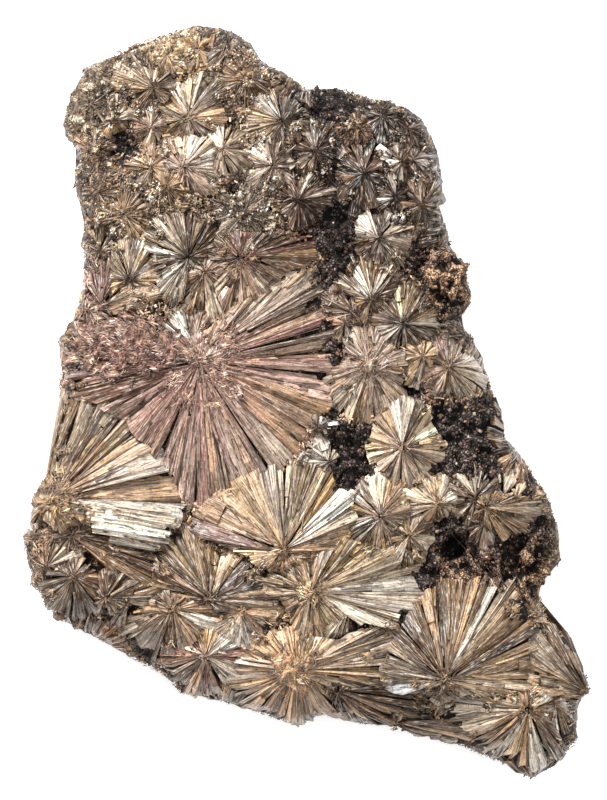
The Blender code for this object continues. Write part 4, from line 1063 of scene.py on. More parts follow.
@dataclass
class Blade:
    """One blade or needle of a fan.

    Attributes:
        fan: The fan it belongs to.
        direction: Which way it points, in degrees.
        start: Distance of its near end from the hub.
        ends: Distances of its far end, strip by strip from right to left.
        near: Width of its near end.
        far: Width of its far end.
        lift: Height over the fan's general level.
        tilt: How much further its far end is lifted.
        roll: How steeply it slopes sideways.
        depth: How thick it is.
        tone: Its colour.
        shift: How far it is moved sideways, which makes it leave the hub off centre.
    """

    fan: Fan
    direction: float
    start: float
    ends: tuple[float, ...]
    near: float
    far: float
    lift: float
    tilt: float
    roll: float
    depth: float
    tone: Triple
    shift: float = 0.0


@dataclass
class BladeCloud:
    """Builds the meshes of many blades at once.

    Attributes:
        growth: The surface and the fans' levels.
        rng: Where the random shapes come from.
        facet: How far the strips of a blade's top differ in height, in millimetres.
        bow: How far a blade bends sideways, as a share of its length.
        crown: How far a blade's sides lie under its middle, as a share of its width.
        dive: How far a blade's end bends down, under the blades of the next fan.
    """

    growth: Growth
    rng: np.random.Generator
    facet: float = 0.17
    bow: float = 0.022
    crown: float = 0.14
    dive: float = 0.6

    def column(self, blades: Sequence[Blade], value: Callable[[Blade], float]) -> Array:
        """Give one value of every blade as a column."""
        return np.array([value(b) for b in blades], dtype=float)[:, None]

    def build(self, name: str, lengths: int, strips: int, blades: Sequence[Blade]) -> Piece:
        """Build an object that holds every given blade.

        Args:
            name: Name of the object.
            lengths: How many faces long each blade is.
            strips: How many faces wide each blade is.
            blades: The blades.

        Returns:
            The object.
        """
        template = Template.lath(lengths, strips)
        u, v, w = (template.corners[:, i][None, :] for i in range(3))
        count, corners = len(blades), u.shape[1]
        strip = np.broadcast_to(np.round((v + 0.5) * strips).astype(int), (count, corners))
        row = np.arange(count)[:, None]
        start = self.column(blades, lambda b: b.start)
        ends = np.array([np.interp(np.linspace(0, 1, strips + 1), np.linspace(0, 1, len(b.ends)), b.ends)
                         for b in blades])
        length = ends.mean(axis=1, keepdims=True) - start
        own = ends[row, strip] - start
        turn = np.radians(self.column(blades, lambda b: b.direction))
        width = self.column(blades, lambda b: b.near) * (1 - u) + self.column(blades, lambda b: b.far) * u
        ridge = self.rng.normal(0, self.facet, (count, strips + 1))[row, strip]
        ridge = ridge * np.minimum(1, width) + self.rng.normal(0, 0.05, (count, corners))
        ridge = ridge - self.crown * width * (2 * v) ** 2
        bend = self.rng.normal(0, self.bow, (count, 1)) * length
        hub_x, hub_y, shift, lift, tilt, radius, dome, fan_lift, lean_x, lean_y = (
            self.column(blades, value) for value in (
                lambda b: b.fan.x, lambda b: b.fan.y, lambda b: b.shift, lambda b: b.lift, lambda b: b.tilt,
                lambda b: b.fan.radius, lambda b: b.fan.dome, lambda b: b.fan.lift,
                lambda b: b.fan.lean[0], lambda b: b.fan.lean[1],
            )
        )

        def centre(share: Array) -> tuple[Array, Array, Array]:
            """Follow the middle line of every blade.

            Args:
                share: How far along the blades.

            Returns:
                Places in the plan and the levels there.
            """
            distance = start + own * share
            side = shift * (1 - share) + bend * share**2
            x = hub_x + distance * np.cos(turn) - side * np.sin(turn)
            y = hub_y + distance * np.sin(turn) + side * np.cos(turn)
            out = np.minimum(distance / radius, 1.0)
            level = self.growth.slope * (radius - distance) + self.growth.least * (1 - out)
            level = level + dome * radius * (np.sqrt(1 - 0.98 * out**2) - 0.3) + fan_lift
            level = level + lean_x * (x - hub_x) + lean_y * (y - hub_y)
            return x, y, level + lift + tilt * share - self.dive * np.clip(3 * share - 2, 0, 1)

        share = np.broadcast_to(u, (count, corners))
        relief = self.growth.relief
        x, y, level = centre(share)
        calm = 1 - relief.calm * np.clip((np.hypot(x, y) - relief.outline_radius(x, y) + 2.5) / 4, 0, 1)
        middle = relief.points(x, y, level)
        along = relief.points(*centre(share + 0.02)) - middle
        along /= np.linalg.norm(along, axis=-1, keepdims=True)
        out = relief.normals(x, y)
        out = out - (out * along).sum(axis=-1, keepdims=True) * along
        out /= np.linalg.norm(out, axis=-1, keepdims=True)
        side = np.cross(out, along)
        across = v * width
        roll = self.column(blades, lambda b: b.roll)
        depth = self.column(blades, lambda b: b.depth)
        rise = (ridge * (w > -0.5) + roll * across) * calm + w * depth
        points = middle + across[..., None] * side + rise[..., None] * out

        base = np.array([b.tone for b in blades])[:, None, :]
        crumb = np.array([b.fan.crumb.value for b in blades])[:, None, :]
        hub = self.column(blades, lambda b: max(b.fan.hub, 0.12) * b.fan.radius)
        distance = start + own * share
        stain = np.clip(1.15 - distance / (2.4 * hub), 0, 0.85) * self.rng.uniform(0.5, 1.1, (count, 1))
        shade = np.exp(self.rng.normal(0, 0.10, (count, corners, 1)))
        # Painted shade: most blades darken towards their far ends, where they dive under the next fan, and
        # some the other way at random.
        end_shade = np.where(radius < SMALL_FAN, 0.6, 0.3) * self.rng.normal(-0.35, 1, (count, 1))
        shade = shade * np.exp(end_shade * (share - 0.5))[..., None]
        colour = (base * (1 - stain[..., None]) + crumb * stain[..., None]) * shade
        colour = shaded(colour, x, y)
        tint = np.concatenate([np.clip(colour, 0, 1), stain[..., None]], axis=2)
        edge = (0.5 - np.abs(v)) * width
        chance = np.broadcast_to(self.rng.uniform(0, 1, (count, 1)), (count, corners))
        points[..., 2] = np.maximum(points[..., 2], LOWEST)
        # The depth down the side goes into form for the painted shade on the blades' flanks.
        form = np.stack([share, edge, chance, np.broadcast_to(-w, (count, corners))], axis=2)
        offset = self.rng.uniform(0, 50, (count, 1, 2))
        uv = np.stack([distance, across], axis=2) * 0.1 + offset
        return joined_mesh(name, template, points, tint, form, uv)


@dataclass(frozen=True)
class Petal:
    """A bundle of blades that lie alike.

    Attributes:
        start: Direction where it begins.
        sweep: How many degrees wide it is.
        lift: How far it stands over the fan.
        tilt: How much further its far end is lifted.
        roll: How steeply its blades slope sideways.
        share: Share of the fan's room that its flanks fill.
        pick: Which of the tones it takes, as a share of their list.
        shade: How much lighter or darker it is.
        shift: How far off centre it leaves the hub.
    """

    start: float
    sweep: float
    lift: float
    tilt: float
    roll: float
    share: float
    pick: float
    shade: float
    shift: float

    def valley(self, direction: float) -> float:
        """Give how near a direction is to the petal's flanks, from 0 in its middle to 1."""
        return min(1.0, (2 * (direction - self.start) / self.sweep - 1) ** 2)


@dataclass
class CrystalFans:
    """All the blades, sorted into a few pieces by where they are.

    Attributes:
        growth: The room that each fan has.
        variety: How much the tones vary from blade to blade.
        stout: How much wider the broad blades are than their fan says.
        gaps: Share of the blades that have a crevice beside them.
        rng: Source of chance.
        pieces: The pieces made so far.
    """

    growth: Growth
    variety: float = 0.25
    stout: float = 1.2
    gaps: float = 0.08
    rng: random.Random = field(default_factory=lambda: random.Random(SEED))
    pieces: list[Piece] = field(default_factory=list)

    def tone(self, tones: tuple[Tone, ...], pick: float = -1.0, shade: float = 0.0) -> Triple:
        """Choose a blade's colour from some tones.

        Args:
            tones: The tones.
            pick: Share of the list at which to pick, or less than 0 to pick at random.
            shade: How much lighter or darker the petal is.

        Returns:
            The colour.
        """
        a = tones[int(pick * len(tones))] if pick >= 0 else self.rng.choice(tones)
        b = self.rng.choice(tones)
        mix = self.rng.random() * 0.4
        bright = math.exp(shade + self.rng.gauss(0, self.variety))
        return tuple(min(0.9, bright * ((1 - mix) * p + mix * q)) for p, q in zip(a.value, b.value))

    def room(self, reaches: Array, direction: float) -> float:
        """Give a fan's room in one direction."""
        return float(reaches[int(direction % 360 / 360 * len(reaches)) % len(reaches)])

    def ends(self, reaches: Array, direction: float, spread: float, share: float) -> tuple[float, ...]:
        """Give where the strips of a blade end, at the seam or broken off before it.

        Args:
            reaches: The fan's room in each direction.
            direction: The blade's direction.
            spread: How many degrees wide the blade's end is.
            share: Share of the room that the blade fills.

        Returns:
            The distances of its end, strip by strip.
        """
        turns = [direction + spread * (k / 4 - 0.5) for k in range(5)]
        found = [self.room(reaches, t) for t in turns]
        middle = found[2]
        over = self.rng.gauss(0, 0.14) + (self.rng.uniform(0.2, 0.8) if self.rng.random() < 0.2 else 0.0)
        round_off = self.rng.uniform(0.0, 0.1) * math.radians(spread) * middle
        return tuple(
            min(max(f, 0.75 * middle), 1.15 * middle) * share + over - round_off * (k / 2 - 1) ** 2
            + self.rng.uniform(-0.14, 0.1) for k, f in enumerate(found)
        )

    def petal(self, reaches: Array, turn: float) -> Petal:
        """Choose how the next petal of a fan lies.

        Args:
            reaches: The fan's room in each direction.
            turn: Where the petal starts, in degrees.

        Returns:
            The petal.
        """
        rng = self.rng
        room = max(self.room(reaches, turn), 2.5)
        sweep = math.degrees(rng.uniform(1.8, 5.0) / room)
        steep, uneven = (0.4, 0.24) if room < BIG_ROOM else (0.22, 0.17)
        return Petal(
            turn, min(max(sweep, 5.0), 46.0), rng.gauss(0, 0.5 * steep), rng.gauss(0, steep),
            rng.gauss(0, 0.16), 1 - rng.uniform(0, 0.5) / room, rng.random(), rng.gauss(0, uneven),
            rng.gauss(0, 0.05 * room ** 0.5),
        )

    def broad_blades(self, fan: Fan, reaches: Array) -> list[Blade]:
        """Grow the broad blades that cover a fan, petal by petal.

        Args:
            fan: The fan.
            reaches: Its room in each direction.

        Returns:
            The blades.
        """
        rng = self.rng
        blades = []
        stout = self.stout * (1.3 if fan.radius < SMALL_FAN and not fan.name.startswith("rim") else 1.0)
        turn = rng.uniform(0, 30)
        last = turn + 360
        while turn < last:
            petal = self.petal(reaches, turn)
            while turn < min(petal.start + petal.sweep, last):
                part = fan.part(turn)
                width = (part.width or fan.width) * rng.uniform(0.7, 1.7) * stout
                spread = min(max(math.degrees(width / max(self.room(reaches, turn), 1.0)), 1.8), 34)
                direction = turn + spread / 2
                wide = 1.4 if fan.radius < BIG_ROOM else 1.12
                turn += spread * (1.0 if rng.random() > self.gaps else wide)
                if self.room(reaches, direction) >= 0.9:
                    blades += self.broken(fan, reaches, direction, spread, part, petal)
        return blades

    def broken(
        self, fan: Fan, reaches: Array, direction: float, spread: float, part: Sector, petal: Petal
    ) -> list[Blade]:
        """Make one blade of a petal, whole or broken across into pieces.

        Args:
            fan: The fan.
            reaches: The fan's room in each direction.
            direction: The blade's direction.
            spread: How many degrees wide its end is.
            part: The sector it is in.
            petal: The petal it belongs to.

        Returns:
            The pieces, from the hub outwards.
        """
        rng = self.rng
        valley = petal.valley(direction)
        start = max(0.25, fan.radius * rng.uniform(0.02, 0.07))
        short = rng.uniform(0, 1.0) / max(self.room(reaches, direction), 4.0) if rng.random() < 0.2 else 0.0
        ends = self.ends(reaches, direction, spread, 1 - short - (1 - petal.share) * valley)
        middle = ends[2]
        if middle < start + 0.7:
            return []
        cuts = [start]
        while middle - cuts[-1] > 4 and rng.random() < 0.15:
            cuts.append(cuts[-1] + (middle - cuts[-1]) * rng.uniform(0.3, 0.8))
        lift = part.lift + petal.lift + rng.gauss(0, 0.13)
        tilt = petal.tilt + rng.gauss(0, 0.2) - 0.55 * valley
        roll = petal.roll + rng.gauss(0, 0.28)
        tone = self.tone(part.tones, petal.pick if rng.random() < 0.6 else -1.0, petal.shade)
        far = math.radians(spread) * 1.12
        blades = []
        for index, near in enumerate(cuts):
            final = index == len(cuts) - 1
            stop = ends if final else tuple(cuts[index + 1] - 0.1 + rng.uniform(-0.3, 0.3) for _ in ends)
            reach = sum(stop) / len(stop)
            if reach < near + 0.3:
                continue
            done, now = near / middle, reach / middle
            blades.append(Blade(
                fan, direction, near, stop, near=max(0.2, far * near), far=max(0.3, far * reach),
                lift=lift + tilt * done + (rng.gauss(0, 0.1) if index else 0.0), tilt=tilt * (now - done),
                roll=roll, depth=1.2 + max(part.lift, 0), tone=tone,
                shift=petal.shift + rng.gauss(0, 0.02 * fan.radius ** 0.5),
            ))
        return blades

    def slabs(self) -> list[Blade]:
        """Lay the bundles of parallel white blades.

        Returns:
            The blades.
        """
        rng = self.rng
        blades = []
        for x, y, direction, length, count, width, lift in SLABS:
            turn = math.radians(direction)
            for index in range(count):
                side = -index * width * 0.95
                climb = Growth.slope * length
                fan = Fan(
                    "slab", x - side * math.sin(turn), y + side * math.cos(turn), all_round(length), GLINT_TONES,
                    hub=0.0, crumb=PALE, lift=-climb,
                )
                stop = length * rng.uniform(0.9, 1.0)
                blades.append(Blade(
                    fan, direction, rng.uniform(0, 0.8), (stop, stop + rng.uniform(-0.4, 0.4), stop),
                    near=width * 1.1, far=width * 1.1, lift=lift + rng.gauss(0, 0.08),
                    tilt=climb + rng.gauss(0, 0.1), roll=rng.gauss(0, 0.12), depth=2.2,
                    # Painted highlight: the slabs' white tones are made lighter still for their glint.
                    tone=self.tone(GLINT_TONES, -1.0, 0.35),
                ))
        return blades

    def ridges(self, fan: Fan, reaches: Array) -> list[Blade]:
        """Grow the narrower blades that lie on the broad ones.

        Args:
            fan: The fan.
            reaches: Its room in each direction.

        Returns:
            The blades.
        """
        rng = self.rng
        blades = []
        around = sum(self.room(reaches, t) for t in range(0, 360, 4)) * math.radians(4)
        for _ in range(round(0.22 * around / fan.width)):
            direction = rng.uniform(0, 360)
            room = self.room(reaches, direction)
            part = fan.part(direction)
            if room < 2.0:
                continue
            start = room * rng.uniform(0.08, 0.6)
            share = rng.uniform(start / room + 0.2, 1.0) if rng.random() < 0.6 else 1.0
            if room * share < start + 0.8:
                continue
            width = (part.width or fan.width) * rng.uniform(0.25, 0.6)
            spread = math.degrees(width / room)
            blades.append(Blade(
                fan, direction, start, self.ends(reaches, direction, spread, min(share, 1.0)),
                near=width * rng.uniform(0.4, 0.9), far=width, lift=part.lift + rng.uniform(0.1, 0.4),
                tilt=rng.gauss(-0.05, 0.2), roll=rng.gauss(0, 0.3), depth=0.6, tone=self.tone(part.tones),
                shift=rng.gauss(0, 0.08 * fan.radius ** 0.5),
            ))
        return blades

    def needles(self, fan: Fan, reaches: Array) -> list[Blade]:
        """Grow the thin needles that lie between and over the blades.

        Args:
            fan: The fan.
            reaches: Its room in each direction.

        Returns:
            The needles.
        """
        rng = self.rng
        blades = []
        for _ in range(round(2.2 * fan.radius + 8)):
            direction = rng.uniform(0, 360)
            room = self.room(reaches, direction)
            start = room * rng.uniform(0.03, 0.8)
            end = min(room, start + rng.uniform(0.15, 0.5) * room)
            if end < start + 0.6:
                continue
            width = rng.uniform(0.08, 0.22)
            part = fan.part(direction)
            tone = self.tone(part.tones if rng.random() < 0.85 else (UMBER, WHITE))
            blades.append(Blade(
                fan, direction, start, (end,) * 2, near=width, far=width * rng.uniform(0.5, 1.2),
                lift=part.lift + rng.uniform(0.1, 0.45), tilt=rng.gauss(0, 0.2), roll=0.0, depth=0.4,
                tone=tone, shift=rng.gauss(0, 0.10 * fan.radius ** 0.5),
            ))
        return blades

    def build(self) -> list[Piece]:
        """Build the pieces.

        Returns:
            The objects, with no material yet.
        """
        regions = {region: [] for region in (*REGIONS, "lower_right", "rim")}
        needles = []
        for fan in self.growth.fans:
            reaches = self.growth.reaches(fan)
            region = regions[self.region(fan)]
            region += self.broad_blades(fan, reaches)
            region += self.ridges(fan, reaches)
            needles += self.needles(fan, reaches)
        regions["middle"] += self.slabs()
        cloud = BladeCloud(self.growth, np.random.default_rng(SEED))
        for region, blades in regions.items():
            LOG.info("blades_%s: %d blades", region, len(blades))
            self.pieces.append(cloud.build(f"blades_{region}", 3, 4, blades))
        LOG.info("needles: %d", len(needles))
        self.pieces.append(cloud.build("needles", 1, 1, needles))
        return self.pieces

    def region(self, fan: Fan) -> str:
        """Name the piece that a fan's blades belong to.

        Args:
            fan: The fan.

        Returns:
            The region's name.
        """
        if fan.name.startswith("rim"):
            return "rim"
        return next((region for region, fans in REGIONS.items() if fan in fans), "lower_right")


@dataclass
class Litter:
    """Small broken grains and splinters, on the hubs of the fans, between them and on the bare rock.

    Attributes:
        growth: The surface and the fans.
        rng: Source of chance.
    """

    growth: Growth
    rng: np.random.Generator = field(default_factory=lambda: np.random.default_rng(SEED + 1))

    def build(
        self, name: str, template: Template, x: Array, y: Array, level: Array, size: Array,
        turn: Array, colour: Array, pitch: float = 0.35, rough: float = 0.25,
    ) -> Piece:
        """Build grains at some places.

        Args:
            name: Name of the object.
            template: Shape of a grain.
            x: Places.
            y: Places.
            level: Levels of their middles.
            size: Their length, width and height.
            turn: The way each one points, in radians.
            colour: Their colours.
            pitch: How steeply they lean.
            rough: How far their corners are moved, as a share of their size.

        Returns:
            The object.
        """
        count, corners = len(x), len(template.corners)
        shape = template.corners[None] * self.rng.uniform(1 - rough, 1 + rough, (count, corners, 1))
        shape = shape * size[:, None, :]
        lean = self.rng.normal(0, pitch, (count, 1))
        cos, sin = np.cos(lean), np.sin(lean)
        shape = np.stack([shape[..., 0] * cos - shape[..., 2] * sin, shape[..., 1],
                          shape[..., 0] * sin + shape[..., 2] * cos], axis=2)
        relief = self.growth.relief
        out = relief.normals(x, y)[:, None, :]
        cos, sin = np.cos(turn)[:, None], np.sin(turn)[:, None]
        along = np.stack([cos, sin, np.zeros_like(cos)], axis=2)
        along = along - (along * out).sum(axis=2, keepdims=True) * out
        along /= np.linalg.norm(along, axis=2, keepdims=True)
        side = np.cross(out, along)
        points = relief.points(x, y, level)[:, None, :] + (
            shape[..., :1] * along + shape[..., 1:2] * side + shape[..., 2:] * out
        )
        points[..., 2] = np.maximum(points[..., 2], LOWEST)
        colour = shaded(colour, x, y)
        form = np.zeros((count, corners, 4))
        form[..., :2] = 0.5, 0.3
        form[..., 2:3] = self.rng.uniform(0, 1, (count, 1, 1))
        tint = np.zeros((count, corners, 4))
        tint[..., :3] = colour[:, None, :]
        uv = shape[..., :2] * 0.1 + self.rng.uniform(0, 5, (count, 1, 2))
        return joined_mesh(name, template, points, tint, form, uv)

    def shades(self, tones: Sequence[Tone], count: int, variety: float = 0.3) -> Array:
        """Choose some colours among tones, lighter or darker.

        Args:
            tones: The tones.
            count: How many colours.
            variety: How much they vary.

        Returns:
            The colours.
        """
        table = np.array([t.value for t in tones])
        colour = table[self.rng.integers(0, len(table), count)]
        return np.clip(colour * np.exp(self.rng.normal(0, variety, (count, 1))), 0, 1)

    def hub_litter(self) -> list[Piece]:
        """Build the crumbs and fibres on the hubs of the fans.

        Returns:
            The objects.
        """
        grains, fibres = [], []
        for fan in self.growth.fans:
            reaches = self.growth.reaches(fan)
            ways = np.linspace(0, 360, len(reaches), endpoint=False)
            zone = np.full(len(ways), max(fan.hub, 0.09) * fan.radius)
            zone = np.minimum(np.maximum(zone, 0.6), reaches)
            density = 3.6 if fan.hub > 0.45 else 2.4
            for rows, share in ((grains, 0.6), (fibres, 1.4)):
                count = round(8 + density * share * float(np.mean(zone**2)))
                pick = self.rng.choice(len(ways), count, p=zone**2 / (zone**2).sum())
                turn = np.radians(ways[pick] + self.rng.uniform(0, 1, count))
                out = zone[pick] * np.sqrt(self.rng.uniform(0, 1, count))
                mix = self.rng.random(count)[:, None] < 0.3
                own, crumb = self.shades(fan.tones, count, 0.2), self.shades((fan.crumb,), count, 0.2)
                colour = 0.55 * np.where(mix, own, crumb) + 0.12 * np.array(GREY.value)
                dx, dy = out * np.cos(turn), out * np.sin(turn)
                lift = np.array([fan.part(w).lift for w in ways[pick]])
                level = self.growth.level(fan, dx, dy) + lift + self.rng.uniform(-0.15, 0.3, count)
                rows.append((fan.x + dx, fan.y + dy, level, turn, colour))
        x, y, level, turn, colour = (np.concatenate(v) for v in zip(*grains))
        size = self.rng.uniform(0.18, 0.42, (len(x), 1)) * self.rng.uniform(0.6, 1.5, (len(x), 3))
        LOG.info("hub_crumbs %d", len(x))
        balls = self.build("hub_crumbs", Template.crumb(), x, y, level, size, turn, colour)
        x, y, level, turn, colour = (np.concatenate(v) for v in zip(*fibres))
        turn = turn + self.rng.normal(0, 0.5, len(x))
        size = np.stack([self.rng.uniform(0.5, 1.6, len(x)), self.rng.uniform(0.1, 0.26, len(x)),
                         self.rng.uniform(0.1, 0.26, len(x))], axis=1)
        LOG.info("hub_fibres %d", len(x))
        return [balls, self.build("hub_fibres", Template.splinter(), x, y, level, size, turn, colour)]

    def scatter(self, count: int, beyond: float = 9.0) -> tuple[Array, Array, Array, Array]:
        """Choose places all over the specimen.

        Args:
            count: How many are tried.
            beyond: How far past the outline they may be.

        Returns:
            The places, and how far inside the crystals and inside bare patches they are.
        """
        x, y = self.rng.uniform(-90, 90, (2, count))
        inside = np.hypot(x, y) < self.growth.relief.outline_radius(x, y) + beyond
        x, y = x[inside], y[inside]
        return (x, y, *self.growth.cover(x, y))

    def fan_shades(
        self, owner: Array, others: Sequence[Tone], share: float | Array, variety: float = 0.26
    ) -> Array:
        """Choose colours among the tones of the fans at some places, and some other tones.

        Args:
            owner: Number of the fan at each place.
            others: The other tones.
            share: Share of the colours that are the fan's.
            variety: How much they vary.

        Returns:
            The colours.
        """
        colour = self.shades(others, len(owner), variety)
        own = self.rng.random(len(owner)) < share
        for index, fan in enumerate(self.growth.fans):
            here = own & (owner == index)
            if here.any():
                colour[here] = self.shades((*fan.tones, fan.crumb), int(here.sum()), variety)
        return colour

    def debris(self) -> list[Piece]:
        """Build the flakes and crumbs that fill the room between the fans.

        Returns:
            The objects.
        """
        x, y, crystal, bare = self.scatter(130000, 3.0)
        level, owner, apart = self.growth.ground(x, y)
        rim = np.hypot(x, y) - self.growth.relief.outline_radius(x, y)
        gap = crystal < 0.3
        seam = (crystal >= 0.3) & (apart < self.rng.exponential(0.35, len(x))) & (rim < -2)
        chosen = (bare < -0.2) & (gap | seam)
        x, y, level, owner, gap, rim = (v[chosen] for v in (x, y, level, owner, gap, rim))
        low, high = self.rng.uniform(-0.6, 0.5, len(x)), self.rng.uniform(-0.4, 0.25, len(x))
        level = np.where(gap, low, level + high)
        small = np.where(rim > -2.5, 0.6, 1.0)
        tones = (TAN, PALE, GREY, UMBER, CREAM, SOOT)
        pieces = []
        for name, template, part, limit in (
            ("debris_crumbs", Template.shard(), slice(0, None, 2), 6500),
            ("debris_flakes", Template.splinter(), slice(1, None, 2), 5500),
        ):
            px, py, plevel, powner, psmall = (v[part][:limit] for v in (x, y, level, owner, small))
            count = len(px)
            size = self.rng.uniform(0.18, 0.5, (count, 1)) * self.rng.uniform(0.6, 1.4, (count, 3))
            if name.endswith("flakes"):
                size = np.stack([self.rng.uniform(0.4, 1.4, count), self.rng.uniform(0.12, 0.45, count),
                                 self.rng.uniform(0.12, 0.3, count)], axis=1)
            turn = self.rng.uniform(0, 2 * math.pi, count)
            LOG.info("%s: %d of %d", name, count, len(x) // 2)
            pieces.append(self.build(name, template, px, py, plevel, size * psmall[:, None], turn,
                                     self.fan_shades(powner, tones, 0.7), 0.45))
        return pieces

    def felt(self, spots: Sequence[Spot], total: int = 17000) -> Piece:
        """Build the matted fibres of the broken crystal.

        Args:
            spots: Where it grows.
            total: How many fibres there are.

        Returns:
            The object.
        """
        rng = self.rng
        area = np.array([spot.radius**2 for spot in spots])
        pick = rng.choice(len(spots), total, p=area / area.sum())
        middle = np.array([(spot.x, spot.y, spot.radius, spot.height) for spot in spots])[pick]
        away, bearing = 0.92 * np.sqrt(rng.uniform(0, 1, total)), rng.uniform(0, 2 * math.pi, total)
        x = middle[:, 0] + middle[:, 2] * away * np.cos(bearing)
        y = middle[:, 1] + middle[:, 2] * away * np.sin(bearing)
        level, owner, _ = self.growth.ground(x, y)
        hubs = np.array([(fan.x, fan.y) for fan in self.growth.fans])[owner]
        swirl, lumps, broad = (
            waves(x, y, layer, size) for layer, size in ((4.0, 2.2), (3.0, 1.5), (8.0, 3.6))
        )
        high = y > 30
        turn = np.arctan2(y - hubs[:, 1], x - hubs[:, 0]) + np.where(high, 2.2, 1.4) * swirl
        turn = turn + rng.normal(0, 0.35, total)
        level = level + 0.45 + 0.9 * lumps + 0.6 * broad - 1.2 * away**4
        level = level + rng.uniform(-0.25, 0.25, total) + middle[:, 3]
        ranges = ((0.45, 1.5), (0.16, 0.46), (0.16, 0.34))
        size = np.stack([rng.uniform(least, most, total) for least, most in ranges], axis=1)
        size *= np.where(high[:, None], (0.6, 1.0, 1.0), (1.4, 0.8, 0.8))
        within = np.hypot(x, y) < self.growth.relief.outline_radius(x, y)
        kept = (self.growth.cover(x, y)[1] < 0.2) & within
        x, y, level, owner, turn, size, lumps, swirl, broad, high = (
            v[kept] for v in (x, y, level, owner, turn, size, lumps, swirl, broad, high)
        )
        colour = self.fan_shades(owner, (GREY, TAN, UMBER, GREY, PALE), np.where(high, 0.5, 0.9), 0.16)
        contrast = np.where(high, 1.3, 0.75)
        # Painted shade with mottle: the lumps and broad waves that raise the felt also make it lighter, so
        # its low places are darker.
        mottle_and_shade = contrast * (2.2 * lumps + 0.6 * swirl + 1.3 * broad)
        colour = np.clip(colour * np.exp(mottle_and_shade + rng.normal(-0.12, 0.15, len(x)))[:, None], 0, 0.7)
        return self.build("felt", Template.shard(), x, y, level, size, turn, colour, 0.25, 0.3)

    def rock_grains(self, rock: "Rock") -> Piece:
        """Build the grains of the bare rock.

        Args:
            rock: The rock, which knows its own level.

        Returns:
            The object.
        """
        x, y, crystal, bare = self.scatter(360000)
        clump = waves(x, y, 9.0, 1.7)
        chosen = (bare > self.rng.uniform(-0.9, 0.3, len(x))) & (clump > self.rng.normal(0.0, 0.08, len(x)))
        x, y = x[chosen][:15000], y[chosen][:15000]
        LOG.info("rock_grains: %d", len(x))
        size = 0.26 + 0.6 * self.rng.uniform(0, 1, (len(x), 1)) ** 3
        size = size * self.rng.uniform(0.7, 1.3, (len(x), 3))
        pit_shade = np.minimum(rock.level(x, y) + 0.6, 0)
        level = rock.level(x, y) + 0.35 * size[:, 2] + self.rng.uniform(-0.1, 0.25, len(x))
        turn = self.rng.uniform(0, 2 * math.pi, len(x))
        # Painted shade: grains that lie in the pits are darker.
        colour = rock.grain_colours(x, y, self.rng) * np.exp(0.7 * pit_shade)[:, None]
        return self.build("rock_grains", Template.shard(), x, y, level, size, turn, colour, 0.7, 0.35)


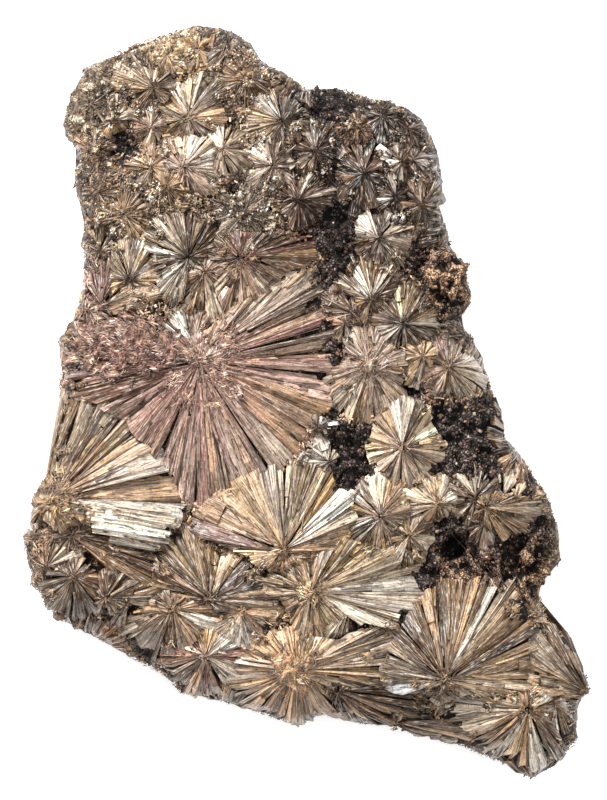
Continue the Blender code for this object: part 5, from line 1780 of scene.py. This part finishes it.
@dataclass
class Crust:
    """Broken, fibrous crystal that hides parts of the fans.

    Attributes:
        growth: The surface and the fans.
        name: Name of its object.
        spots: Where it grows.
        step: Distance between its corners.
        rise: How far it stands over the fans.
        sunk: How far its rim dives under them.
    """

    growth: Growth
    name: str
    spots: Sequence[Spot]
    step: float = 0.3
    rise: float = 0.35
    sunk: float = 2.2

    def build(self) -> Piece:
        """Build every patch of it as closed lumps in one object.

        Returns:
            The object.
        """
        bm = bmesh.new()
        tint = bm.verts.layers.float_color.new("tint")
        tops, plan = [], []
        for spot in self.spots:
            side = max(7, round(2 * spot.radius / self.step))
            made = bmesh.ops.create_grid(bm, x_segments=side, y_segments=side, size=1.0)["verts"]
            square = np.array([v.co[:2] for v in made])
            disc = square * np.sqrt(1 - square[:, ::-1] ** 2 / 2)
            tops += made
            where = np.tile((spot.x, spot.y, spot.radius, spot.height), (len(disc), 1))
            plan.append(np.concatenate([disc, where], axis=1))
        disc_x, disc_y, x, y, radius, height = np.concatenate(plan).T
        x, y = x + disc_x * radius, y + disc_y * radius
        level, colour = self.surface(x, y, np.hypot(disc_x, disc_y), 1 - 0.7 * np.clip(height, 0, 1))
        points = self.growth.relief.points(x, y, level + height)
        points[:, 2] = np.maximum(points[:, 2], 1.0)
        for vertex, point, shade in zip(tops, points, colour):
            vertex.co = point * MM
            vertex[tint] = (*shade, 0.0)
        upper = set(bm.faces)
        rims = [e for e in bm.edges if e.is_boundary]
        down = bmesh.ops.extrude_edge_only(bm, edges=rims)["geom"]
        for vertex in (g for g in down if isinstance(g, bmesh.types.BMVert)):
            vertex.co.z -= 1.5 * MM
        bmesh.ops.holes_fill(bm, edges=[e for e in bm.edges if e.is_boundary])
        steadied(bm, upper)
        bmesh.ops.recalc_face_normals(bm, faces=bm.faces)
        piece = from_bmesh(self.name, bm)
        piece.data.shade_flat()
        return piece

    def surface(
        self, x: Array, y: Array, share: Array, contrast: Array
    ) -> tuple[Array, Array]:
        """Work out the crust's level and colour.

        Args:
            x: Places.
            y: Places.
            share: How far from the middle of its patch each place is, from 0 to 1.
            contrast: How much its colours differ there.

        Returns:
            The levels and the colours.
        """
        noise.seed_set(SEED)
        ground, owner, _ = self.growth.ground(x, y)
        bare = self.growth.cover(x, y)[1]
        level = np.empty(len(x))
        colour = np.empty((len(x), 3))
        for i, (px, py, own) in enumerate(zip(x, y, owner)):
            fan = self.growth.fans[own]
            away, turn = math.hypot(px - fan.x, py - fan.y), math.atan2(py - fan.y, px - fan.x)
            lumps = noise.noise(Vector((px, py, 3.0)) / 1.5)
            fibres = noise.noise(Vector((away / 1.8, turn * max(away, 2.0) / 0.42, own)))
            grit = noise.noise(Vector((px, py, 7.0)) / 0.45)
            ragged = share[i] * (1 + 0.45 * noise.noise(Vector((px, py, 5.0)) / 2.4))
            rise = self.rise + 0.9 * lumps + 0.6 * fibres + 0.3 * grit
            level[i] = rise - self.sunk * max(0.0, ragged - 0.45) ** 1.5 * 2
            tones = (*fan.part(math.degrees(turn)).tones, fan.crumb)
            mixed = noise.noise(Vector((px, py, 1.0)) / 1.1)
            tone = tones[min(len(tones) - 1, int((0.5 + 0.9 * mixed) * len(tones)) if mixed > -0.55 else 0)]
            if away < fan.hub * fan.radius * 0.8:
                tone = fan.crumb
            level[i] -= 2.5 * min(max(bare[i] + 0.3, 0.0), 1.0)
            # Painted shade: the lumps, fibres and grit that raise the crust also make it lighter, so low
            # places and the deepest grit pits are darker, beside its own mottle.
            bright = math.exp(contrast[i] * (1.6 * grit + 1.5 * fibres + 1.8 * lumps - 0.75))
            bright *= 0.3 if grit < -0.25 and contrast[i] > 0.8 else 1.0
            colour[i] = np.minimum((0.7 * np.array(tone.value) + 0.3 * np.array(GREY.value)) * bright, 0.6)
        colour = shaded(colour, x, y)
        return ground + level, colour


@dataclass
class Rock:
    """The slab of dark rock, with its bare patches, lumps, pits and flat back.

    Attributes:
        growth: The surface and the fans.
        bearings: How many corners go round it.
        rings: How many rings of corners cover the face and the sides.
        back_rings: How many rings of corners cover the back.
        sunk: How far it lies under the crystals where they cover it.
        back_share: Share of the outline that the flat back reaches.
        rusty: Rusty places, as x, y, spread squared and how rusty.
        left_rust: How rusty the left end is.
        left_end: Where the left end begins.
        lumps: Knobs on the bare patches.
        pits: Holes in the bare patches and beside the hubs.
    """

    growth: Growth
    bearings: int = 480
    rings: int = 170
    back_rings: int = 14
    sunk: float = 0.9
    back_share: float = 0.89
    rusty: tuple[tuple[float, ...], ...] = (
        (29, 23, 55, 1.3), (31, -33, 16, 0.9), (43, -35, 40, 0.9), (48, -31, 14, 0.5),
    )
    left_rust: float = 0.3
    left_end: float = -38
    lumps: tuple[Spot, ...] = spots(
        (28, 25, 4.6, 3), (29.5, 19, 3.6, 2.4), (25, 21.5, 2.4, 1.4), (7.3, 32.6, 2.3, 1.9),
        (4, 30.5, 1.6, 1), (6.4, 9, 1.8, 1), (2.5, 61, 2.2, 1), (8.5, -13.5, 2.4, 1.2), (4.5, -5.5, 2, 1),
        (27.5, -26.5, 2.2, 1.2), (31.5, -25.2, 1.9, 1.3), (26.4, -31.2, 1.6, 1.4), (31, -32.8, 1.9, 1.4),
        (38, -31, 2.4, 1.6), (44.5, -31.5, 2, 1.6), (46, -27, 2.6, 1.4), (43, -36, 2.2, 1.4),
        (34, -33, 1.6, 1),
    )
    pits: tuple[Spot, ...] = spots(
        (30, -29.4, 2.4, 4), (24.2, -31.4, 1.4, 2.4), (27, -23.8, 1.6, 2.4), (42, -32.6, 1.8, 3.2),
        (40.6, -35.6, 1.8, 3), (34, -31, 1.2, 2), (45, -34, 1.2, 2.2), (21.2, 2.7, 1.7, 3),
        (27.6, 21, 1.4, 2.6), (28.6, 26.6, 1.1, 2), (22.8, 27.2, 1.4, 1.8), (3.6, 60.2, 1.4, 2),
        (26.4, 20.8, 1.3, 2.6), (29.4, 15.4, 1.2, 2), (31, 23.4, 0.9, 1.6), (29.6, -29.6, 2.6, 3),
        (25.6, -34.6, 1.3, 2.4), (42.4, -29, 1.6, 2.6), (46.4, -33.2, 1.4, 2.6), (36.6, -34.4, 1.3, 2.2),
        (33, -5.6, 1.4, 1.6), (36.4, -10.4, 1.5, 1.8), (8.4, -8, 1.4, 1.8), (4.6, -8.6, 1.1, 1.4),
        (7.6, 36.2, 1.2, 1.6), (-40.8, 33.8, 1.6, 2.2), (-23.6, 8.2, 1, 3.5), (-1.8, -40.8, 1.3, 3),
        (-3.6, -30.6, 0.9, 2.4), (12.4, -11.4, 1, 1.6),
    )

    def bareness(self, x: Array, y: Array) -> Array:
        """Give how bare the rock is at some places, from 0 under crystals to 1."""
        return np.clip((self.growth.cover(x, y)[1] + 0.5) / 0.8, 0, 1)

    def level(self, x: Array, y: Array) -> Array:
        """Give the rock's level against the crystals' general surface.

        Args:
            x: Places.
            y: Places.

        Returns:
            The levels.
        """
        bare = self.bareness(x, y)
        level = -self.sunk + bare * (self.sunk - 0.5)
        for lump in self.lumps:
            inside = np.clip(1 - ((x - lump.x) ** 2 + (y - lump.y) ** 2) / lump.radius**2, 0, 1)
            level = level + bare * lump.height * np.sqrt(inside)
        for pit in self.pits:
            inside = np.clip(1 - ((x - pit.x) ** 2 + (y - pit.y) ** 2) / pit.radius**2, 0, 1)
            level = level - pit.height * np.sqrt(inside)
        return level

    def rustiness(self, x: Array, y: Array) -> Array:
        """Give how rusty the bare rock is at some places, from 0 to 1."""
        rust = sum(share * bell(x, y, rx, ry, spread) for rx, ry, spread, share in self.rusty)
        return np.clip(rust + self.left_rust * (x < self.left_end), 0, 1)

    def grain_colours(self, x: Array, y: Array, rng: np.random.Generator) -> Array:
        """Choose the colours of grains at some places: sooty, brown, or rusty.

        Args:
            x: Places.
            y: Places.
            rng: Source of chance.

        Returns:
            The colours.
        """
        soot, slate, umber, rust, grey = (np.array(t.value) for t in (SOOT, SLATE, UMBER, RUST, GREY))
        pick = rng.random(len(x))
        colour = np.where((pick < np.where(x > 24, 0.25, 0.4))[:, None], soot, slate)
        colour = np.where((pick > 0.72)[:, None], umber, colour)
        colour = np.where((pick > 0.96)[:, None], grey, colour)
        colour = np.where((rng.random(len(x)) < 0.03 + 0.7 * self.rustiness(x, y))[:, None], rust, colour)
        spread = np.where(self.rustiness(x, y) > 0.4, 0.35, 0.65)
        return np.clip(colour * np.exp(rng.normal(0.0, 1.0, len(x)) * spread)[:, None], 0, 1)

    def rough(self, points: Array, amount: Array) -> Array:
        """Give the rock's own roughness at some points, in millimetres along the normal.

        Args:
            points: The points.
            amount: Share of the roughness at each of them.

        Returns:
            How far out each point moves.
        """
        noise.seed_set(SEED)
        out = np.empty(len(points))
        for i, point in enumerate(points):
            p = Vector(point)
            knob = 1 - noise.voronoi(p / 1.8)[0][0]
            out[i] = 1.5 * noise.noise(p / 2.1) + 0.7 * knob + 0.5 * noise.noise(p / 0.9) - 0.35
        return out * amount

    def build(self) -> Piece:
        """Build the closed slab.

        Returns:
            The object.
        """
        relief = self.growth.relief
        bm = bmesh.new()
        total = self.rings + self.back_rings
        bmesh.ops.create_grid(bm, x_segments=self.bearings, y_segments=total, size=1.0)
        bm.verts.ensure_lookup_table()
        grid = np.array([v.co[:2] for v in bm.verts]) * 0.5 + 0.5
        turn = grid[:, 0] * 2 * math.pi
        ring = grid[:, 1] * total
        on_face = ring <= self.rings + 0.5
        share = np.clip(ring / self.rings, 0, 1) ** 0.8
        reach = relief.outline_radius(np.cos(turn), np.sin(turn))
        foot = reach + relief.waist - 2.0
        out = share * foot
        x, y = out * np.cos(turn), out * np.sin(turn)
        points = relief.points(x, y, self.level(x, y))
        side = np.clip((out - reach) / (relief.waist - 2.0), 0, 1)
        points[:, :2] *= (1 - side * (1 - self.back_share / relief.crust_share) * 0.7)[:, None]
        bare = self.bareness(x, y)
        rough = self.rough(points, 0.6 + 0.6 * bare + 0.8 * self.rustiness(x, y))
        points += rough[:, None] * relief.normals(x, y)
        points[:, 2] = np.maximum(points[:, 2], 0.6)
        inner = np.clip((total - ring) / self.back_rings, 0, 1)
        back = np.stack([
            self.back_share * reach * inner * np.cos(turn), self.back_share * reach * inner * np.sin(turn),
            np.zeros(len(turn)),
        ], axis=1)
        points = np.where(on_face[:, None], points, back)
        kind = bm.verts.layers.float_color.new("bare")
        rust = self.rustiness(x, y)
        # Painted shade: pits, low places and the painted shadow spots are darker and rough bumps lighter,
        # kept in the blue of the bare layer.
        pit_shade = 0.22 * np.minimum(self.level(x, y) + 0.6, 0) - 0.12 * painted_shadow(x, y)
        high = np.clip(0.5 + 0.45 * rough + pit_shade, 0, 1)
        for vertex, point, b, r, h in zip(bm.verts, points, np.where(on_face, bare, 1.0), rust, high):
            vertex.co = point * MM
            vertex[kind] = (b, r, h, 1.0)
        bmesh.ops.remove_doubles(bm, verts=bm.verts, dist=1e-7)
        bmesh.ops.recalc_face_normals(bm, faces=bm.faces)
        piece = from_bmesh("rock_slab", bm)
        piece.data.shade_smooth()
        return piece


class Nodes:
    """A material's or a group's node tree, with short ways to add and join nodes."""

    def __init__(self, tree: bpy.types.NodeTree) -> None:
        """Take a node tree to add to."""
        self.tree = tree

    @classmethod
    def material(
        cls, name: str, constants: dict[str, object]
    ) -> tuple[bpy.types.Material, "Nodes", bpy.types.Node]:
        """Start a material.

        Args:
            name: Its name.
            constants: Values of the shader's sockets that are the same all over.

        Returns:
            The material, its nodes and its shader.
        """
        material = bpy.data.materials.new(name)
        material.use_nodes = True
        shader = material.node_tree.nodes["Principled BSDF"]
        for socket, value in constants.items():
            shader.inputs[socket].default_value = value
        return material, cls(material.node_tree), shader

    def add(self, kind: str, **settings: object) -> bpy.types.Node:
        """Add a node of a kind, with its settings.

        Args:
            kind: Blender's name of the kind.
            **settings: Properties of the node.

        Returns:
            The node.
        """
        node = self.tree.nodes.new(kind)
        for key, value in settings.items():
            setattr(node, key, value)
        return node

    def join(self, output: Socket, socket: Socket) -> None:
        """Join an output to an input."""
        self.tree.links.new(output, socket)

    def feed(self, value: object, socket: Socket) -> None:
        """Join a socket to an input, or set the input to a number or a plain colour.

        Args:
            value: The socket, number or colour.
            socket: The input.
        """
        if isinstance(value, Socket):
            self.join(value, socket)
        else:
            socket.default_value = (*value, 1.0) if isinstance(value, tuple) else value

    def place(self) -> Socket:
        """Give the place on the piece."""
        return self.add("ShaderNodeTexCoord").outputs["Object"]

    def attribute(self, name: str) -> bpy.types.Node:
        """Add a node that reads one of the mesh's own attributes."""
        return self.add("ShaderNodeAttribute", attribute_name=name)

    def parts(self, colour: Socket) -> bpy.types.NodeOutputs:
        """Split a colour into its red, green and blue.

        Args:
            colour: The colour.

        Returns:
            The three outputs.
        """
        split = self.add("ShaderNodeSeparateColor")
        self.join(colour, split.inputs["Color"])
        return split.outputs

    def bump(self, height: Socket, strength: float, distance: float, invert: bool = False) -> Socket:
        """Turn a height into a normal.

        Args:
            height: The pattern.
            strength: Share of it that is used.
            distance: Height of the pattern, in metres.
            invert: Whether bright is low.

        Returns:
            The normal.
        """
        bump = self.add("ShaderNodeBump", invert=invert)
        bump.inputs["Strength"].default_value = strength
        bump.inputs["Distance"].default_value = distance
        self.join(height, bump.inputs["Height"])
        return bump.outputs["Normal"]

    def ramp(self, value: Socket, stops: Sequence[tuple[float, float]]) -> Socket:
        """Map a value through grey stops and give back the result.

        Args:
            value: What is mapped.
            stops: Places and brightnesses.

        Returns:
            The mapped value.
        """
        node = self.add("ShaderNodeValToRGB")
        ramp = node.color_ramp
        while len(ramp.elements) < len(stops):
            ramp.elements.new(0.5)
        for element, (place, bright) in zip(ramp.elements, stops):
            element.position = place
            element.color = (bright, bright, bright, 1)
        self.join(value, node.inputs["Fac"])
        return node.outputs["Color"]

    def mix(self, blend: str, factor: object, a: object, b: object) -> Socket:
        """Mix two colours, each a socket or a plain colour.

        Args:
            blend: Blender's name of the way of mixing.
            factor: A socket or a number.
            a: First colour.
            b: Second colour.

        Returns:
            The mixed colour.
        """
        node = self.add("ShaderNodeMix", data_type="RGBA", blend_type=blend)
        for index, value in ((0, factor), (6, a), (7, b)):
            self.feed(value, node.inputs[index])
        return node.outputs[2]

    def math(self, operation: str, a: object, b: object = 0.0) -> Socket:
        """Work out one number from two, each a socket or a number.

        Args:
            operation: Blender's name of the sum.
            a: First number.
            b: Second number.

        Returns:
            The result.
        """
        node = self.add("ShaderNodeMath", operation=operation)
        self.feed(a, node.inputs[0])
        self.feed(b, node.inputs[1])
        return node.outputs[0]

    def noise(self, vector: object, scale: float, detail: float = 4.0) -> Socket:
        """Add a noise pattern and give back its value.

        Args:
            vector: Where the pattern is read.
            scale: How fine it is.
            detail: How many finer layers it has.

        Returns:
            The pattern.
        """
        node = self.add("ShaderNodeTexNoise")
        node.inputs["Scale"].default_value = scale
        node.inputs["Detail"].default_value = detail
        self.join(vector, node.inputs["Vector"])
        return node.outputs["Fac"]


@dataclass(frozen=True)
class Specks:
    """Fine light and dark specks that the crystals and the broken grains share, as a node group.

    Attributes:
        name: Name of the group.
        darkest: Noise value at which the specks are darkest.
        lightest: Noise value at which they are lightest.
    """

    name: str = "mineral_specks"
    darkest: float = 0.32
    lightest: float = 0.70

    def group(self) -> bpy.types.NodeTree:
        """Build the group, or find it once it is built.

        Returns:
            The group, which puts out the shade and the bare noise.
        """
        if self.name in bpy.data.node_groups:
            return bpy.data.node_groups[self.name]
        tree = bpy.data.node_groups.new(self.name, "ShaderNodeTree")
        for name, way, kind in (
            ("Vector", "INPUT", "Vector"), ("Scale", "INPUT", "Float"), ("Dark", "INPUT", "Float"),
            ("Light", "INPUT", "Float"), ("Shade", "OUTPUT", "Float"), ("Noise", "OUTPUT", "Float"),
        ):
            tree.interface.new_socket(name, in_out=way, socket_type=f"NodeSocket{kind}")
        nodes = Nodes(tree)
        given, result = nodes.add("NodeGroupInput"), nodes.add("NodeGroupOutput")
        grain = nodes.add("ShaderNodeTexNoise")
        shade = nodes.add("ShaderNodeMapRange")
        shade.inputs["From Min"].default_value = self.darkest
        shade.inputs["From Max"].default_value = self.lightest
        for start, output, end, socket in (
            (given, "Vector", grain, "Vector"), (given, "Scale", grain, "Scale"),
            (grain, "Fac", shade, "Value"), (given, "Dark", shade, "To Min"),
            (given, "Light", shade, "To Max"), (shade, "Result", result, "Shade"),
            (grain, "Fac", result, "Noise"),
        ):
            nodes.join(start.outputs[output], end.inputs[socket])
        return tree

    def place(self, nodes: Nodes, scale: float, dark: float, light: float) -> bpy.types.Node:
        """Place the group in a material.

        Args:
            nodes: The material's nodes.
            scale: How fine the specks are.
            dark: Shade of the darkest.
            light: Shade of the lightest.

        Returns:
            The node, with its outputs Shade and Noise.
        """
        node = nodes.add("ShaderNodeGroup", node_tree=self.group())
        for name, value in (("Scale", scale), ("Dark", dark), ("Light", light)):
            node.inputs[name].default_value = value
        nodes.join(nodes.place(), node.inputs["Vector"])
        return node


@dataclass(frozen=True)
class BladeFinish:
    """Pearly, finely lined crystal.

    Attributes:
        rough: Roughness of clean crystal.
        bump: Strength of the lines.
        stain: Colour of the iron stain on the blades.
        crack_and_shade: Colour of the cracks and the blades' edges, and of the painted shade on their
            flanks.
        flank_shade: How much the blades' flanks take that colour, as painted shade in the gaps between the
            blades.
    """

    rough: float = 0.34
    bump: float = 0.55
    stain: Triple = linear(104, 74, 54)
    crack_and_shade: Triple = linear(44, 28, 19)
    flank_shade: float = 0.7

    def build(self, name: str) -> bpy.types.Material:
        """Build the material.

        Args:
            name: Its name.

        Returns:
            The material.
        """
        material, nodes, shader = Nodes.material(name, {
            "IOR": 1.58, "Specular IOR Level": 0.38, "Coat Weight": 0.06, "Coat Roughness": 0.2,
        })
        uv = nodes.add("ShaderNodeUVMap", uv_map="grain").outputs["UV"]
        lines = self.pattern(nodes, uv, (1.4, 40.0), 3.0)
        broad = self.pattern(nodes, uv, (0.9, 9.0), 2.0)
        # Painted highlight: white flecks along the blades stand in for glints, and the same pattern also
        # shapes the bump.
        glint_flecks = self.pattern(nodes, uv, (6.0, 46.0), 5.0)
        pits = self.pattern(nodes, uv, (5.0, 26.0), 5.0)
        cross = self.pattern(nodes, uv, (30.0, 3.0), 3.0)
        blotch = nodes.noise(nodes.place(), 160.0, 4.0)
        tint, form = nodes.attribute("tint"), nodes.attribute("form")
        stripes = nodes.ramp(lines, ((0.41, 0.3), (0.49, 0.95), (0.58, 1.28)))
        colour = nodes.mix("MULTIPLY", 0.8, tint.outputs["Color"], stripes)
        colour = nodes.mix("MULTIPLY", 0.8, colour, nodes.ramp(broad, ((0.32, 0.68), (0.68, 1.22))))
        specks = Specks().place(nodes, 2300.0, 0.6, 1.36)
        colour = nodes.mix("MULTIPLY", 0.75, colour, specks.outputs["Shade"])
        edge = nodes.parts(form.outputs["Color"])["Green"]
        for value, stops, over in (
            (blotch, ((0.5, 0.0), (0.72, 0.5)), self.stain),
            (pits, ((0.36, 0.9), (0.43, 0.0)), self.crack_and_shade),
            (glint_flecks, ((0.54, 0.0), (0.66, 0.68)), WHITE.value),
            (cross, ((0.31, 0.6), (0.36, 0.0)), self.crack_and_shade),
            (edge, ((0.0, 0.8), (0.12, 0.0)), self.crack_and_shade),
        ):
            colour = nodes.mix("MIX", nodes.ramp(value, stops), colour, over)
        # Painted shade: the flanks of the blades are darkened towards the crack colour, as the gaps between
        # blades fall in shadow.
        flank_shade = nodes.math("MULTIPLY", form.outputs["Alpha"], self.flank_shade)
        colour = nodes.mix("MIX", flank_shade, colour, self.crack_and_shade)
        nodes.join(colour, shader.inputs["Base Color"])
        rough = nodes.ramp(blotch, ((0.35, self.rough - 0.06), (0.7, self.rough + 0.25)))
        nodes.join(rough, shader.inputs["Roughness"])
        height = nodes.mix("MIX", 0.5, lines, glint_flecks)
        nodes.join(nodes.bump(height, self.bump, 0.00035), shader.inputs["Normal"])
        return material

    def pattern(
        self, nodes: Nodes, uv: Socket, scale: tuple[float, float], detail: float
    ) -> Socket:
        """Add a noise drawn out along the blades.

        Args:
            nodes: The material's nodes.
            uv: Coordinates along and across the blade.
            scale: Spots per centimetre, along and across.
            detail: How fine the noise is.

        Returns:
            Its value.
        """
        mapping = nodes.add("ShaderNodeMapping")
        mapping.inputs["Scale"].default_value = (*scale, 1.0)
        nodes.join(uv, mapping.inputs["Vector"])
        return nodes.noise(mapping.outputs["Vector"], 1.0, detail)


@dataclass(frozen=True)
class GrainFinish:
    """Dull broken grains that take their colour from the tint.

    Attributes:
        rough: Roughness of a plain grain.
    """

    rough: float = 0.7

    def build(self, name: str) -> bpy.types.Material:
        """Build the material.

        Args:
            name: Its name.

        Returns:
            The material.
        """
        material, nodes, shader = Nodes.material(name, {"Specular IOR Level": 0.25})
        specks = Specks().place(nodes, 1800.0, 0.62, 1.25)
        tint = nodes.attribute("tint").outputs["Color"]
        colour = nodes.mix("MULTIPLY", 0.8, tint, specks.outputs["Shade"])
        nodes.join(colour, shader.inputs["Base Color"])
        rough = nodes.ramp(specks.outputs["Noise"], ((0.3, self.rough + 0.15), (0.7, self.rough - 0.2)))
        nodes.join(rough, shader.inputs["Roughness"])
        return material


@dataclass(frozen=True)
class RockFinish:
    """Dark, porous, iron-stained rock, paler with crystal dust under the crystals.

    Attributes:
        dark: Colour of its darker grains.
        mid: Colour of its lighter grains.
        rust: Colour of the rusty places.
        dust: Colour of the crystal dust.
        pit: Colour between the grains, near black: painted shade in the pores.
    """

    dark: Triple = linear(36, 30, 28)
    mid: Triple = linear(96, 82, 76)
    rust: Triple = linear(150, 119, 91)
    dust: Triple = linear(122, 98, 76)
    pit: Triple = linear(14, 11, 10)

    def build(self, name: str) -> bpy.types.Material:
        """Build the material.

        Args:
            name: Its name.

        Returns:
            The material.
        """
        material, nodes, shader = Nodes.material(name, {"Specular IOR Level": 0.2})
        place = nodes.place()
        broad, fine = nodes.noise(place, 130.0, 5.0), nodes.noise(place, 1300.0, 4.0)
        cells = nodes.add("ShaderNodeTexVoronoi")
        cells.inputs["Scale"].default_value = 2300.0
        nodes.join(place, cells.inputs["Vector"])
        gap, cell = cells.outputs["Distance"], nodes.parts(cells.outputs["Color"])
        kind = nodes.parts(nodes.attribute("bare").outputs["Color"])
        rock = nodes.mix("MIX", nodes.ramp(cell["Red"], ((0.25, 0.0), (0.9, 1.0))), self.dark, self.mid)
        amount = nodes.math("MULTIPLY", kind["Green"], nodes.ramp(fine, ((0.34, 0.2), (0.52, 1.0))))
        rock = nodes.mix("MIX", amount, rock, self.rust)
        dust = nodes.mix("MIX", nodes.ramp(cell["Red"], ((0.1, 0.0), (0.7, 1.0))), UMBER.value, self.dust)
        dust = nodes.mix("MIX", nodes.ramp(broad, ((0.55, 0.0), (0.66, 0.8))), dust, self.dark)
        colour = nodes.mix("MIX", kind["Red"], dust, rock)
        # Painted shade: the blue of the bare layer darkens the rock where it lies low or in shadow spots,
        # and lightens its bumps.
        height = nodes.ramp(kind["Blue"], ((0.38, 0.03), (0.53, 0.6), (0.74, 2.5)))
        colour = nodes.mix("MULTIPLY", 1.0, colour, height)
        # Painted shade: the gaps between the grains, which the bump sinks, are near black for the shade in
        # the pores.
        colour = nodes.mix("MIX", nodes.ramp(gap, ((0.3, 0.0), (0.6, 0.95))), colour, self.pit)
        colour = nodes.mix("MIX", nodes.ramp(cell["Green"], ((0.93, 0.0), (0.97, 0.7))), colour, GREY.value)
        nodes.join(colour, shader.inputs["Base Color"])
        nodes.join(nodes.ramp(fine, ((0.3, 0.95), (0.7, 0.6))), shader.inputs["Roughness"])
        nodes.join(nodes.bump(gap, 0.8, 0.0004, True), shader.inputs["Normal"])
        return material


@dataclass(frozen=True)
class Studio:
    """The camera that looks straight down, the pale floor and the soft lights.

    Attributes:
        lens: Focal length in millimetres.
        sensor: Sensor size along the picture's longer side, in millimetres.
        picture: Height of the picture at the crystals' level, in metres.
        level: Height of the crystals' level, in metres.
        centre: Where the camera looks, in metres.
        floor_size: Side of the floor, in metres.
        drop: How far the floor lies under the flat back, in metres, so that the two faces don't meet.
    """

    lens: float = 200.0
    sensor: float = 36.0
    picture: float = 0.1579
    level: float = 0.022
    centre: tuple[float, float] = (-0.0003, 0.0003)
    floor_size: float = 6.0
    drop: float = 0.0001

    def camera(self) -> None:
        """Place the camera."""
        data = bpy.data.cameras.new("camera")
        data.lens = self.lens
        data.sensor_width = self.sensor
        data.clip_end = 20
        camera = placed("camera", data)
        camera.location = (*self.centre, self.level + self.picture * self.lens / self.sensor)
        bpy.context.scene.camera = camera

    def light(self, name: str, place: Triple, size: float, power: float) -> None:
        """Add a square soft light that faces the specimen.

        Args:
            name: Its name.
            place: Where it is, in metres.
            size: Its side, in metres.
            power: Its power in watts.
        """
        data = bpy.data.lights.new(name, "AREA")
        data.size = size
        data.energy = power
        lamp = placed(name, data)
        lamp.location = place
        lamp.rotation_euler = (-Vector(place)).to_track_quat("-Z", "Y").to_euler()

    def floor(self) -> None:
        """Add the pale floor."""
        bm = bmesh.new()
        bmesh.ops.create_grid(bm, x_segments=1, y_segments=1, size=0.5 * self.floor_size)
        bmesh.ops.translate(bm, vec=(0, 0, -self.drop), verts=bm.verts)
        floor = from_bmesh("floor", bm)
        floor.data.materials.append(Nodes.material("floor_white", {
            "Base Color": (0.9, 0.9, 0.9, 1), "Roughness": 0.9, "Specular IOR Level": 0.1,
            "Emission Color": (1, 1, 1, 1), "Emission Strength": 0.5,
        })[0])

    def build(self) -> None:
        """Build the camera, the floor, the lights and the room's light."""
        self.camera()
        self.floor()
        self.light("key", (-0.52, 0.90, 0.78), 0.22, 34.0)
        self.light("top", (0.15, 0.10, 1.30), 0.9, 11.0)
        world = bpy.data.worlds.new("room")
        world.use_nodes = True
        background = world.node_tree.nodes["Background"]
        background.inputs["Color"].default_value = (1, 1, 1, 1)
        background.inputs["Strength"].default_value = 0.50
        bpy.context.scene.world = world
        bpy.context.scene.view_settings.view_transform = "Standard"


def rim_fans(relief: Relief) -> tuple[Fan, ...]:
    """Give the fans that hang over the edge, one at every fourth corner of the outline.

    Args:
        relief: The surface, which is not used.

    Returns:
        The fans.
    """
    rng = random.Random(SEED)
    palettes = (DULL, (TAN, UMBER, GREY), MOSSY, (UMBER, TAN, RUST))
    fans = []
    for index, (x, y) in enumerate(OUTLINE[2::4]):
        beyond = 1 + 3.5 / math.hypot(x, y)
        radius = 8.0 * rng.uniform(0.85, 1.15)
        palette = palettes[index % len(palettes)]
        name = f"rim_{index:02d}"
        fans.append(Fan(name, x * beyond, y * beyond, all_round(radius), palette, 1.0, 0.1, UMBER))
    return tuple(fans)


def rim_spots() -> list[Spot]:
    """Give the places along the outline where broken crystal grows, two for each of its corners on the top
    and the sides.

    Returns:
        The places.
    """
    rng = random.Random(SEED)
    spots = []
    for (ax, ay), (bx, by) in zip(OUTLINE, OUTLINE[1:] + OUTLINE[:1]):
        for share in (0.0, 0.5):
            inward = rng.uniform(0.955, 0.995)
            x, y = ax + (bx - ax) * share, ay + (by - ay) * share
            spot = Spot(x * inward, y * inward, rng.uniform(1.3, 2.9))
            if y > 12 or (y > -46 and abs(x) > 44):
                spots.append(spot)
    return spots


def settle(piece: Piece, material: bpy.types.Material, node: str) -> None:
    """Dress a piece and bind it to the frame.

    Args:
        piece: The piece.
        material: Its material.
        node: The solid that it stands for.
    """
    piece.data.materials.append(material)
    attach(piece, "root")
    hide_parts(node)
    LOG.info("%s: %d faces", piece.name, len(piece.data.polygons))


def main() -> None:
    """Build the specimen and its studio, piece by piece."""
    logging.basicConfig(level=logging.INFO, format="%(name)s %(message)s")
    Studio().build()
    relief = Relief()
    growth = Growth(relief, (*FACE_FANS, *rim_fans(relief)))
    crystal = BladeFinish().build("pearly_crystal")
    for piece in CrystalFans(growth).build():
        settle(piece, crystal, "rosettes")
    rock = Rock(growth)
    settle(rock.build(), RockFinish().build("porous_rock"), "matrix")
    litter = Litter(growth)
    grains = GrainFinish().build("broken_grains")
    for piece in (*litter.hub_litter(), *litter.debris()):
        settle(piece, grains, "rosettes")
    spots = (*ROUGH, *rim_spots())
    settle(Crust(growth, "broken_crust", spots).build(), grains, "rosettes")
    settle(litter.felt(spots), crystal, "rosettes")
    settle(litter.rock_grains(rock), grains, "matrix")


if __name__ == "__main__":
    main()
